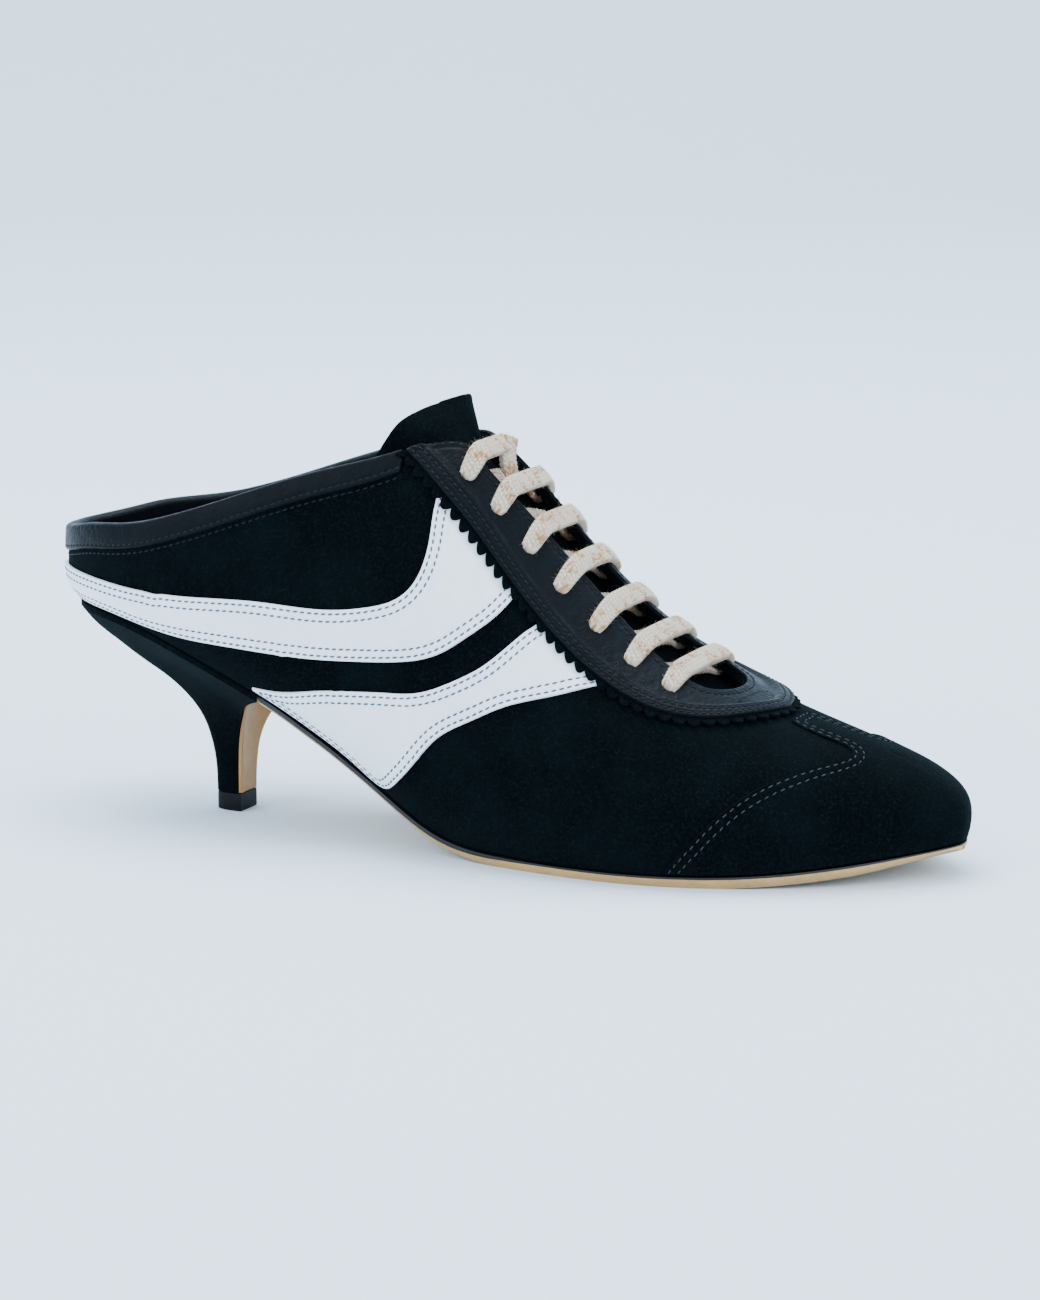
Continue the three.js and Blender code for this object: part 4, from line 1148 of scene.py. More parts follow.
class FacingLines:
    """Lines of the facing over the throat, and places measured across it."""

    def __init__(self) -> None:
        """Makes the curves of the outer and the throat edge."""
        self.curves = row_curves(FACING_ROWS)

    def ends(self, t: Array) -> tuple[Array, Array, Array, Array]:
        """Outer station and girth, throat station and girth."""
        us, qs, ut, qt = (curve(t) for curve in self.curves)
        return us, np.minimum(qs, 1), ut, np.minimum(qt, 1)

    def width(self, t: Array, side: Array) -> Array:
        """Distance from the outer edge to the throat."""
        us, qs, ut, qt = self.ends(t)
        return np.linalg.norm(LAST.point(us, qs, side) - LAST.point(ut, qt, side), axis=-1)

    def place(self, t: Array, side: Array, distance: Array) -> Places:
        """Places at a distance inwards from the outer edge."""
        t, side, distance = np.broadcast_arrays(t, side, distance)
        us, qs, ut, qt = (curve(t) for curve in self.curves)
        share = distance / self.width(t, side)
        girth = np.where(t >= 1, 1.0, np.minimum(mix(qs, qt, share), 1.0))
        return Places(mix(us, ut, share), girth, side)

    def throat_girth(self, station: Array) -> Array:
        """Girth of the throat edge at a station."""
        t = np.linspace(0, 1, 400)
        _, _, ut, qt = self.ends(t)
        return np.interp(station, ut, qt)


FACING = FacingLines()
FACING_LENGTH = 112.0
TOP_EDGE = curves_over(TOPLINE)[0]
HOLE_RADIUS = 1.8
PUNCH_REACH = (-2.5, 6.0)

# Half-round tack in front of the throat: station, and girth counted on over the top line.
TACK_FLAT = [(0.6835, 0.895), (0.6852, 0.954), (0.6868, 1.013)]
TACK_BOW = [(0.6868, 1.013), (0.6885, 1.042), (0.6935, 1.046), (0.6985, 1.025), (0.7009, 0.990),
            (0.6995, 0.950), (0.6935, 0.916), (0.6835, 0.895)]

# Shallow creases of the facing: station and girth of both ends, depth in millimetres.
FACING_CREASES = [
    (0.556, 0.745, 0.566, 0.690, 0.10), (0.572, 0.755, 0.580, 0.700, 0.12),
    (0.590, 0.750, 0.594, 0.705, 0.09), (0.600, 0.760, 0.604, 0.700, 0.11),
    (0.620, 0.745, 0.618, 0.700, 0.09), (0.632, 0.760, 0.628, 0.715, 0.10),
    (0.534, 0.750, 0.546, 0.715, 0.07), (0.655, 0.790, 0.650, 0.745, 0.08),
]


def girth_up(station: Array, girth: Array, side: Array, distance: Array) -> Array:
    """Girth that lies a distance further up the surface."""
    step = 0.004
    high = np.minimum(girth + step, 1)
    span = np.linalg.norm(
        LAST.point(station, high, side) - LAST.point(station, high - 2 * step, side), axis=-1)
    return girth + distance * 2 * step / span


def punched(mesh: bpy.types.Mesh, name: str) -> bpy.types.Mesh:
    """Cuts the lace holes through a mesh."""
    cutter = Body()
    turn = np.linspace(0, 2 * np.pi, 16, endpoint=False)
    for station, girth in HOLES:
        for side in Side:
            at = Places(station, girth, side.value)
            axis = LAST.normals(at)
            first = unit(np.cross(axis, [0.0, 0.0, 1.0]))
            second = np.cross(axis, first)
            ring = HOLE_RADIUS * (np.cos(turn)[:, None] * first + np.sin(turn)[:, None] * second)
            ends = [cutter.take(LAST.skin(at, off) + ring) for off in PUNCH_REACH]
            closed = [np.append(end, end[0]) for end in ends]
            cutter.bridge(*closed, Zone.FACE)
            for end in ends:
                cutter.polygon(end, Zone.FACE)
    tool = bpy.data.objects.new("punch", cutter.mesh("punch"))
    blank = bpy.data.objects.new("blank", mesh)
    for item in (tool, blank):
        bpy.context.scene.collection.objects.link(item)
    cut = blank.modifiers.new("holes", "BOOLEAN")
    cut.operation, cut.solver, cut.object = "DIFFERENCE", "EXACT", tool
    graph = bpy.context.evaluated_depsgraph_get()
    made = bpy.data.meshes.new_from_object(blank.evaluated_get(graph), depsgraph=graph)
    made.name = name
    blank.modifiers.remove(cut)
    for item in (tool, blank):
        bpy.data.objects.remove(item)
    return made


@dataclass
class Upper:
    """The suede upper: one hollow wall, open at the collar, the throat and underneath."""

    rear_steps: int = 96
    throat_steps: int = 44
    front_steps: int = 60
    girth_steps: int = 40

    def build(self) -> bpy.types.Mesh:
        """Makes the wall of both sides."""
        rear = np.linspace(0, TOPLINE[-1][0], self.rear_steps)
        _, _, throat, _ = FACING.ends(np.linspace(0, 1, self.throat_steps))
        front = np.linspace(throat[-1], 1, self.front_steps)
        station = np.concatenate([rear, throat[1:], front[1:]])
        edge = np.where(station <= TOPLINE[-1][0], TOP_EDGE(station), FACING.throat_girth(station))
        edge = np.where(station >= throat[-1], 1.0, np.minimum(edge, 1.0))
        share = np.linspace(0, 1, self.girth_steps)
        body = Body()
        for side in Side:
            places = Places(station[:, None], edge[:, None] * share[None, :], side.value)
            flat = LAST.skin(places, LAYERS.upper)
            swell = 0.06 * ripple(flat, 34.0, 5) * ease(places.girth, 0.08, 0.3)
            swell = np.where((places.girth >= 1) | (places.station <= 0) | (places.station >= 1),
                             0.0, swell)
            outer, inner = LAST.skin(places, LAYERS.upper + swell), LAST.skin(places, 0.0)
            top = body.take(outer, surface_map(outer))
            back = body.take(inner, surface_map(inner))
            body.skin(top, Zone.FACE)
            body.skin(back, Zone.BACK, flip=True)
            body.bridge(top[:, 0], back[:, 0], Zone.RIM)
            open_rows = int(np.searchsorted(station, throat[-1] - 1e-9)) + 1
            body.bridge(top[:open_rows, -1], back[:open_rows, -1], Zone.RIM)
        return punched(body.mesh("upper_shell"), "upper_shell")

    def dress(self, cupboard: Cupboard) -> None:
        """Adds the piece: suede outside, lining leather inside, raw edges."""
        make_piece("upper_shell", self.build(), [cupboard.suede, cupboard.suede_raw, cupboard.lining],
                   ["upper"])


@dataclass
class Facing:
    """The smooth facing with its pinked underlay and its stitches."""

    steps: int = 190
    columns: int = 34
    pink_out: float = 2.1
    pink_depth: float = 1.7
    pink_pitch: float = 3.5
    pink_under: float = 3.4
    step_run: float = 1.6
    outer_corner: float = 1.0
    throat_corner: float = 2.8
    stitch_rows: tuple[float, float] = (0.9, 2.7)
    throat_row: float = 1.9
    top_row: float = 0.018
    crease_width: float = 0.55

    @property
    def raised(self) -> float:
        """Distance of the facing's back from the last where it lies on the pinked strip."""
        return LAYERS.trim_back + LAYERS.trim + 0.04

    def step_off(self, distance: Array, width: Array) -> Array:
        """Distance of the back from the last across the facing."""
        inner = np.minimum(self.pink_under + LAYERS.gap, width * 0.4)
        outer = np.minimum(inner + self.step_run, width * 0.6)
        t = np.clip((distance - inner) / (outer - inner), 0, 1)
        return mix(self.raised, LAYERS.out, t * t * (3 - 2 * t))

    def grid(self) -> tuple[Places, Array, Array]:
        """Places of the facing, with distances from the outer edge and widths."""
        share = 0.5 - 0.5 * np.cos(np.pi * np.linspace(0, 1, self.columns))
        share = mix(np.linspace(0, 1, self.columns), share, 0.75)
        marks, side = both_sides(np.linspace(0, 1, self.steps) ** 0.95)
        top_width = FACING.width(0.0, -1.0)
        start = rounded(share * top_width, self.outer_corner)
        start = (start + rounded((1 - share) * top_width, self.throat_corner)) / FACING_LENGTH
        t = start[None, :] + (1 - start[None, :]) * marks[:, None]
        t = np.where(marks[:, None] >= 1, 1.0, t)
        side = np.broadcast_to(side[:, None], t.shape)
        width = FACING.width(t, side)
        distance = share[None, :] * width
        return FACING.place(t, side, distance), distance, width

    def leather(self) -> bpy.types.Mesh:
        """The facing itself, stepped over the pinked strip and pressed in along its stitches."""
        places, distance, width = self.grid()
        back = self.step_off(distance, width)
        flat = LAST.skin(places, back + LAYERS.facing)
        ends = distance_to(flat, np.concatenate([flat[0], flat[-1]]))
        inside = width - distance
        reach = np.minimum(np.minimum(distance, inside), ends)
        top = back + LAYERS.facing - rounded(reach, 0.4) + 0.05 * ripple(flat, 11.0, 9)
        for row in self.stitch_rows:
            top -= groove(distance, row, 0.20)
        top -= groove(np.minimum(inside, ends), self.throat_row, 0.16)
        for station, girth, to_station, to_girth, depth in FACING_CREASES:
            trace = np.linspace(0, 1, 24)
            line = Places(mix(station, to_station, trace), mix(girth, to_girth, trace), -1.0)
            for side in Side:
                line.side = np.full(24, side.value)
                near = distance_to(flat, LAST.skin(line, LAYERS.facing_top))
                top -= depth * np.exp(-((near / self.crease_width) ** 2))
        raw = np.minimum(ends, np.where(inside < 0.3, inside + 0.1, 1.0)) < 0.34
        body = walled(LAST.skin(places, top), LAST.skin(places, back), raw=raw)
        return punched(body.mesh("eyestay_leather"), "eyestay_leather")

    def pinked(self) -> bpy.types.Mesh:
        """The strip with a toothed edge that shows round the facing."""
        trace = np.linspace(0, 1, 400)
        line = LAST.skin(FACING.place(trace, -1.0, 0.0), 0.0)
        run = path_lengths(line)
        teeth = round(run[-1] / self.pink_pitch)
        per_tooth = 14
        marks = np.interp(np.linspace(0, run[-1], teeth * per_tooth + 1), run, trace)
        t, side = both_sides(marks)
        phase = np.arange(len(t)) / per_tooth
        wave = np.abs(np.cos(np.pi * phase)) ** 0.8
        draws = np.random.default_rng(21)
        tooth = np.round(phase).astype(int)
        curl = draws.uniform(0.0, 0.5, 2 * teeth + 2)[tooth]
        uneven = draws.uniform(-0.18, 0.18, 2 * teeth + 2)[tooth]
        out = self.pink_out + 0.2 - self.pink_depth * (1 - wave) + uneven * wave
        inward = np.minimum(self.pink_under, FACING.width(t, side) * 0.35)
        share = np.linspace(0, 1, 9) ** 0.8
        distance = mix(-out[:, None], inward[:, None], share[None, :])
        places = FACING.place(t[:, None], side[:, None], distance)
        outness = ease(-distance, 0.1, self.pink_out + 0.2)
        lift = outness * curl[:, None] * wave[:, None]
        rim = (distance + out[:, None]) < 0.3
        top = LAYERS.trim_back + LAYERS.trim + lift - 0.15 * rim
        body = walled(LAST.skin(places, top), LAST.skin(places, LAYERS.trim_back + lift * 0.9),
                      raw=rim)
        return body.mesh("pinked_edge")

    def stitches(self, tree: Tree, cupboard: Cupboard) -> None:
        """Two rows along the pinked edge, one round the throat and the half-round tack."""
        rows = Stitcher(pitch=1.9, width=0.46, height=0.5)
        t, side = both_sides(np.linspace(0.012, 1, 260))
        for row in self.stitch_rows:
            rows.row(FACING.place(t, side, row), self.raised + LAYERS.facing - 0.1)
        width = FACING.width(t, side)
        inner = width - self.throat_row
        rows.row(FACING.place(t, side, inner), self.step_off(inner, width) + LAYERS.facing - 0.08)
        for side in Side:
            span = FACING.width(self.top_row, side.value)
            cross = np.linspace(self.stitch_rows[1] + 1.0, span - self.throat_row - 1.0, 40)
            off = self.step_off(cross, span) + LAYERS.facing - 0.08
            rows.row(FACING.place(self.top_row, side.value, cross), off)
        rows.piece("eyestay_stitches", tree, cupboard.dark_thread, "smooth_leather")
        tack = Stitcher(pitch=1.35, fill=0.9, width=0.34, height=0.4, slant=0.0)
        for points in (TACK_FLAT, TACK_BOW):
            knots, fine = np.linspace(0, 1, len(points)), np.linspace(0, 1, 60)
            station, turn = (NaturalSpline(knots, column)(fine) for column in zip(*points))
            tack.row(Places(station, turn, np.full(60, -1.0)), LAYERS.facing_top - 0.06)
        tack.piece("eyestay_tack", tree, cupboard.black_thread, "smooth_leather")

    def dress(self, tree: Tree, cupboard: Cupboard) -> None:
        """Adds the pieces."""
        make_piece("eyestay_leather", self.leather(), cupboard.smooth_panel,
                   ["eyestay"])
        make_piece("pinked_edge", self.pinked(), cupboard.suede_panel, ["pinked_trim"],
                   sharp=50.0)
        self.stitches(tree, cupboard)


@dataclass
class Bands:
    """White leather bands on the sides, each with two rows of stitches along both edges."""

    rows: tuple[float, float] = (1.1, 2.9)
    upper_steps: int = 170
    lower_steps: int = 110
    columns: int = 34
    tuck_under: float = 0.7

    def meets(self, marks: tuple[float, float]) -> tuple[float, float, float, float]:
        """Where a band ends under the pinked edge."""
        ends = FACING.place(marks, -1.0, self.tuck_under)
        return (ends.station[0], ends.girth[0], ends.station[1], ends.girth[1])

    def grid(self, table: Sequence[Sequence[float]], marks: Array, side: float) -> Places:
        """Places of one side of a band."""
        low_station, low_girth, high_station, high_girth = (np.array(c) for c in zip(*table))
        middle = (LAST.point(low_station, low_girth, side)
                  + LAST.point(high_station, high_girth, side)) / 2
        knots = path_lengths(middle)
        knots = knots / knots[-1]
        us, qs = LAST.smooth_line(low_station, low_girth, knots, marks, side)
        ut, qt = LAST.smooth_line(high_station, high_girth, knots, marks, side)
        share = 0.5 - 0.5 * np.cos(np.pi * np.linspace(0, 1, self.columns))[None, :]
        station, girth = mix(us[:, None], ut[:, None], share), mix(qs[:, None], qt[:, None], share)
        return Places(station, girth, side)

    def face(self, places: Places) -> Array:
        """Distance of a band's face from the last: thinner under the facing and at the sole."""
        flat = LAST.skin(places, LAYERS.out)
        trace = np.linspace(0, 1, 300)
        edges = [LAST.skin(FACING.place(trace, side.value, 0.0), LAYERS.out) for side in Side]
        near = distance_to(flat, np.concatenate(edges))
        full = mix(0.30, LAYERS.panel, ease(places.girth, 0.015, 0.12))
        return LAYERS.out + mix(LAYERS.skived, full, ease(near, 2.5, 4.6))

    def upper(self) -> Places:
        """Places of the band that runs round the heel."""
        table = [*BAND_UPPER, self.meets(BAND_UPPER_MEETS)]
        marks = np.linspace(0, 1, self.upper_steps)
        outer, inner = self.grid(table, marks[::-1], -1.0), self.grid(table, marks[1:], 1.0)
        return Places(*(np.concatenate([getattr(outer, key), getattr(inner, key)])
                        for key in ("station", "girth", "side")))

    def lower(self, side: float) -> Places:
        """Places of the band below it."""
        table = [*BAND_LOWER, self.meets(BAND_LOWER_MEETS)]
        return self.grid(table, np.linspace(0, 1, self.lower_steps), side)

    def dress(self, tree: Tree, cupboard: Cupboard) -> None:
        """Adds the bands and their stitches."""
        thread = Stitcher(pitch=1.9, fill=0.74, width=0.52, height=0.38)
        named = [("band_upper", "stripe_upper", self.upper()),
                 ("band_lower_outer", "stripe_lower_outer", self.lower(-1.0)),
                 ("band_lower_inner", "stripe_lower_inner", self.lower(1.0))]
        backwards = (slice(None), slice(None, None, -1))
        for name, node, places in named:
            high = self.face(places)
            flat = LAST.skin(places, high)
            low_edge, high_edge = distance_to(flat, flat[:, 0]), distance_to(flat, flat[:, -1])
            body = sheet(places, LAYERS.out, high, np.minimum(low_edge, high_edge), rows=self.rows,
                         depth=0.13, raw=0.24)
            make_piece(name, body.mesh(name), [cupboard.white, cupboard.cream_edge, cupboard.white],
                       [node])
            for row in self.rows:
                lines = [contour(places, low_edge, row, high_edge),
                         contour(places.pick(backwards), high_edge[backwards], row,
                                 low_edge[backwards])]
                for line in lines:
                    thread.row(line, self.face(line) - 0.07)
        thread.piece("band_stitches", tree, cupboard.pale_thread, "white_leather")


@dataclass
class ToeCap:
    """The suede cap over the toe, winged on the sides, with two rows of stitches."""

    rows: tuple[float, float] = (1.1, 3.0)
    edge_steps: int = 170
    columns: int = 60
    facing_clear: float = 1.9
    seam_height: float = 0.5
    full_height: float = 0.8
    tip_height: float = 0.3

    def edge(self) -> Places:
        """The rear edge, over the shoe from the outer to the inner side."""
        tip, step = FACING_ROWS[-1][0], 0.01
        ahead = np.linalg.norm(LAST.point(tip + step, 1.0, -1.0) - LAST.point(tip, 1.0, -1.0))
        centre = tip + (self.facing_clear + 2 * LAYERS.gap) / (ahead / step)
        knots = [*CAP_EDGE, (0.945, centre + 0.001), (1.0, centre)]
        fine = np.linspace(0, 1, self.edge_steps)
        girth, station = (curve(fine) for curve in row_curves(knots))
        girth = np.minimum(girth, 1.0)
        girth[-1] = 1.0
        return Places(*both_sides(station, girth))

    def dress(self, tree: Tree, cupboard: Cupboard) -> None:
        """Adds the cap and its stitches."""
        edge = self.edge()
        share = np.linspace(0, 1, self.columns)[None, :] ** 1.25
        station = mix(edge.station[:, None], 1.0, share)
        station[:, -1] = 1.0
        places = Places(station, edge.girth[:, None], edge.side[:, None])
        flat = LAST.skin(places, LAYERS.out)
        reach = distance_to(flat, LAST.skin(edge, LAYERS.out))
        full = mix(self.full_height, self.tip_height, ease(places.station, 0.84, 1.0))
        high = LAYERS.out + mix(self.seam_height, full, ease(reach, 3.0, 16.0))
        high = np.where(places.station >= 1, LAYERS.out + self.tip_height, high)
        body = sheet(places, LAYERS.out, high, reach, rows=self.rows, depth=0.16,
                     rims="low first last", round_off=0.4)
        make_piece("toe_cap_suede", body.mesh("toe_cap_suede"), cupboard.suede_panel,
                   ["toe_cap"])
        thread = Stitcher(pitch=2.2, fill=0.62, width=0.36, height=0.34)
        for row in self.rows:
            thread.row(contour(places, reach, row), LAYERS.out + self.seam_height - 0.05)
        thread.piece("toe_cap_stitches", tree, cupboard.grey_thread, "suede")


@dataclass
class Collar:
    """The smooth fold over the top edge round the heel."""

    width: float = 5.4
    turn_in: float = 3.6
    clearance: float = 0.5
    stitch: float = 1.1
    pink_clear: float = 1.9
    steps: int = 150

    def profile(self) -> Array:
        """Section of the fold: distance up from the top edge, distance from the last."""
        out, thick = LAYERS.out, LAYERS.binding
        outer, hidden = out + thick, -self.clearance - thick
        middle, half = (outer + hidden) / 2, (outer - hidden) / 2
        face = [(-self.width, out), (-self.width, out + 0.3 * thick),
                (-self.width + 0.38, outer - 0.10), (-self.width + 0.52, outer - 0.01),
                (-self.width + self.stitch - 0.35, outer), (-self.width + self.stitch, outer - 0.16),
                (-self.width + self.stitch + 0.4, outer), (-self.width / 2, outer + 0.05),
                (-1.2, outer + 0.02)]
        turn = np.linspace(0, np.pi, 13)
        crest = [(0.1 + 1.15 * math.sin(a), middle + half * math.cos(a)) for a in turn]
        lining = [(-1.8, hidden), (-self.turn_in + 0.2, hidden), (-self.turn_in, hidden + 0.3),
                  (-self.turn_in, -self.clearance)]
        inner = [(0.35, -self.clearance), (0.42, 0.4), (0.42, out - 0.3), (0.35, out),
                 (-self.width / 2, out)]
        return np.array(face + crest + lining + inner)

    def ends(self, rise: Sequence[float], clear: Sequence[float]) -> Array:
        """Stations at which lines of the fold stop.

        Args:
            rise: distance of each line up from the top edge.
            clear: distance that each keeps from the outer edge of the facing.

        Returns:
            A station for each line.
        """
        trace = np.linspace(0, 0.3, 200)
        edge = LAST.skin(FACING.place(trace, -1.0, 0.0), LAYERS.out)
        station = np.linspace(0.40, FACING_ROWS[0][0], 120)
        stops = []
        for up, gap in zip(rise, clear):
            girth = girth_up(station, TOP_EDGE(station), -1.0, up)
            near = distance_to(LAST.skin(Places(station, girth, -1.0), LAYERS.out), edge)
            near[-1] = 0.0
            stops.append(station[np.argmax(near < gap)])
        return np.array(stops)

    def dress(self, tree: Tree, cupboard: Cupboard) -> None:
        """Adds the fold and its stitches."""
        marks, side = both_sides(np.linspace(0, 1, self.steps)[::-1])
        section = self.profile()
        clear = mix(0.5, self.pink_clear, ease(-section[:, 0], 0.0, 1.6)) * (section[:, 1] > 0) + 0.4
        stops = self.ends(section[:, 0], clear)
        station = marks[:, None] * stops[None, :]
        girth = girth_up(station, TOP_EDGE(station), side[:, None], section[None, :, 0])
        off = np.broadcast_to(section[None, :, 1], girth.shape)
        points = LAST.skin(Places(station, girth, side[:, None]), off)
        body = Body()
        index = body.take(points, surface_map(points))
        closed = np.concatenate([index, index[:, :1]], 1)
        body.skin(closed[:, :3], Zone.RIM)
        body.skin(closed[:, 2:], Zone.FACE)
        body.polygon(index[0], Zone.FACE)
        body.polygon(index[-1], Zone.FACE)
        make_piece("topline_fold", body.mesh("topline_fold"), cupboard.smooth_panel,
                   ["topline_binding"])
        thread = Stitcher(pitch=1.9, fill=0.72, width=0.42, height=0.36)
        for inset, height in ((-self.width + self.stitch, LAYERS.out + LAYERS.binding - 0.1),
                              (-self.width - 1.1, LAYERS.upper + 0.04)):
            row = marks * self.ends([inset], [self.pink_clear + 0.6])[0]
            thread.row(Places(row, girth_up(row, TOP_EDGE(row), side, inset), side), height)
        thread.piece("collar_stitches", tree, cupboard.dark_thread, "smooth_leather")


@dataclass
class Tongue:
    """The suede tongue, cut raw at its edges."""

    thick: float = 1.6
    clearance: float = 2.0
    hollow: float = 2.0
    skew: float = 0.011
    rows: int = 96
    sewn_rows: int = 50
    columns: int = 61
    lift_across: tuple[float, ...] = (-1.0, -0.85, -0.6, -0.4, -0.2, 0.0, 0.2, 0.4, 0.52, 0.64,
                                      0.78, 1.0)
    lift_height: tuple[float, ...] = (0.0, 0.0, 3.6, 2.6, 2.1, 2.5, 5.0, 10.0, 10.0, 5.0, 0.0, 0.0)

    def depth(self, t: Array, across: Array, station: Array, girth: Array) -> Array:
        """Distance of the tongue's face below the last: sunk under the lace, free above it."""
        open_part = ease(t, 0.02, 0.2) * (1 - ease(t, 0.70, 0.92))
        sunk = self.hollow * ease(1 - np.abs(across), 0.25, 0.85) * open_part
        start = np.interp(girth, (0.718, 0.80, 0.866, 0.90), (FACING_ROWS[0][0], 0.462, 0.482, 0.486))
        free = (start - station) / np.maximum(start - station[-1:], 0.002)
        height = np.maximum(NaturalSpline(self.lift_across, self.lift_height)(across), 0)
        return self.clearance + sunk - height * np.clip(free, 0, 1) ** 0.95

    def dress(self, fuzz: Tree, cupboard: Cupboard) -> None:
        """Adds the tongue and the loose fibres of its cut edge."""
        middle, set_back, sides = row_curves(TONGUE_ROWS)
        t = np.linspace(0, 1, self.rows)[:, None]
        across = np.linspace(-1, 1, self.columns)[None, :]
        girth = 1 - np.abs(across) * (1 - sides(t))
        station = middle(t) - set_back(t) * np.abs(across) ** 1.4
        station = station + self.skew * ease(across, 0.0, 0.45) * ease(t, 0.75, 1.0)
        depth = self.depth(t, across, station, girth)
        places = Places(station, girth, np.where(across < 0, -1.0, 1.0) + 0 * t)
        flat = LAST.skin(places, -depth)
        border = np.concatenate([flat[-1], flat[:, 0], flat[:, -1]])
        reach = distance_to(flat, border)
        wave = 0.18 * ripple(flat, 22.0, 31) * ease(t, 0.6, 1.0)
        top = LAST.skin(places, -depth - rounded(reach, 0.35) + wave + 0.08 * ripple(flat, 2.4, 33)
                        * (reach < 0.5))
        back = LAST.skin(places, -depth - self.thick + wave)
        make_piece("tongue_suede", walled(top, back).mesh("tongue_suede"),
                   [cupboard.suede, cupboard.suede_raw, cupboard.lining], ["tongue"])
        rim = Body()
        free = slice(self.sewn_rows, None)
        for line in ((-1, slice(None)), (free, 0), (free, -1)):
            rim.skin(rim.take(np.stack([top[line], back[line]])), Zone.FACE)
        made = fuzz.run(rim.mesh("tongue_rim"), {
            "Density": 9.0e6, "Fibre": 0.55 * MM, "Radius": 0.018 * MM, "Material": cupboard.suede})
        make_piece("tongue_fray", made, [cupboard.suede], sharp=180.0)


class Bed:
    """The line under the upper that the sole and the heel meet."""

    def __init__(self) -> None:
        """Works out the bed along the shoe."""
        station = np.linspace(0, 1, 240)
        edges = [LAST.skin(Places(station, np.zeros(240), side.value), LAYERS.upper) for side in Side]
        self.x = (edges[0][:, 0] + edges[1][:, 0]) / 2
        self.z = np.minimum(edges[0][:, 2], edges[1][:, 2]) - LAYERS.gap

    def height(self, x: Array) -> Array:
        """Height of the bed."""
        return np.interp(x, self.x, self.z)

    def edge(self, station: Array, side: float, margin: Array | float = 0.5) -> Array:
        """Edge of the sole and of the heel seat."""
        places = Places(station, np.zeros_like(station), side)
        shared = (station <= 0) | (station >= 1)
        flat = LAST.normal(station, np.zeros_like(station), np.where(shared, -1.0, side))
        flat = unit(flat * np.array([1.0, 1.0, 0.0]))
        point = LAST.skin(places, LAYERS.upper) + flat * np.broadcast_to(
            margin, station.shape)[..., None]
        point[..., 2] = self.height(point[..., 0])
        return point

    def across(self, station: Array, k: Array, set_back: Array,
               margin: Array | float = 0.5) -> Array:
        """Points between the two edges; k runs from -1 to 1 across the shoe."""
        station, k, set_back = np.broadcast_arrays(station, k, set_back)
        ends = [self.edge(station, side.value, margin) for side in Side]
        point = mix(ends[0], ends[1], ((k + 1) / 2)[..., None])
        point[..., 0] -= set_back * (1 - k * k)
        point[..., 2] = self.height(point[..., 0])
        return point


BED = Bed()
BREAST_STATION = 0.345
BREAST_HOLLOW = 12.0
SOLE_WAIST = 2.0


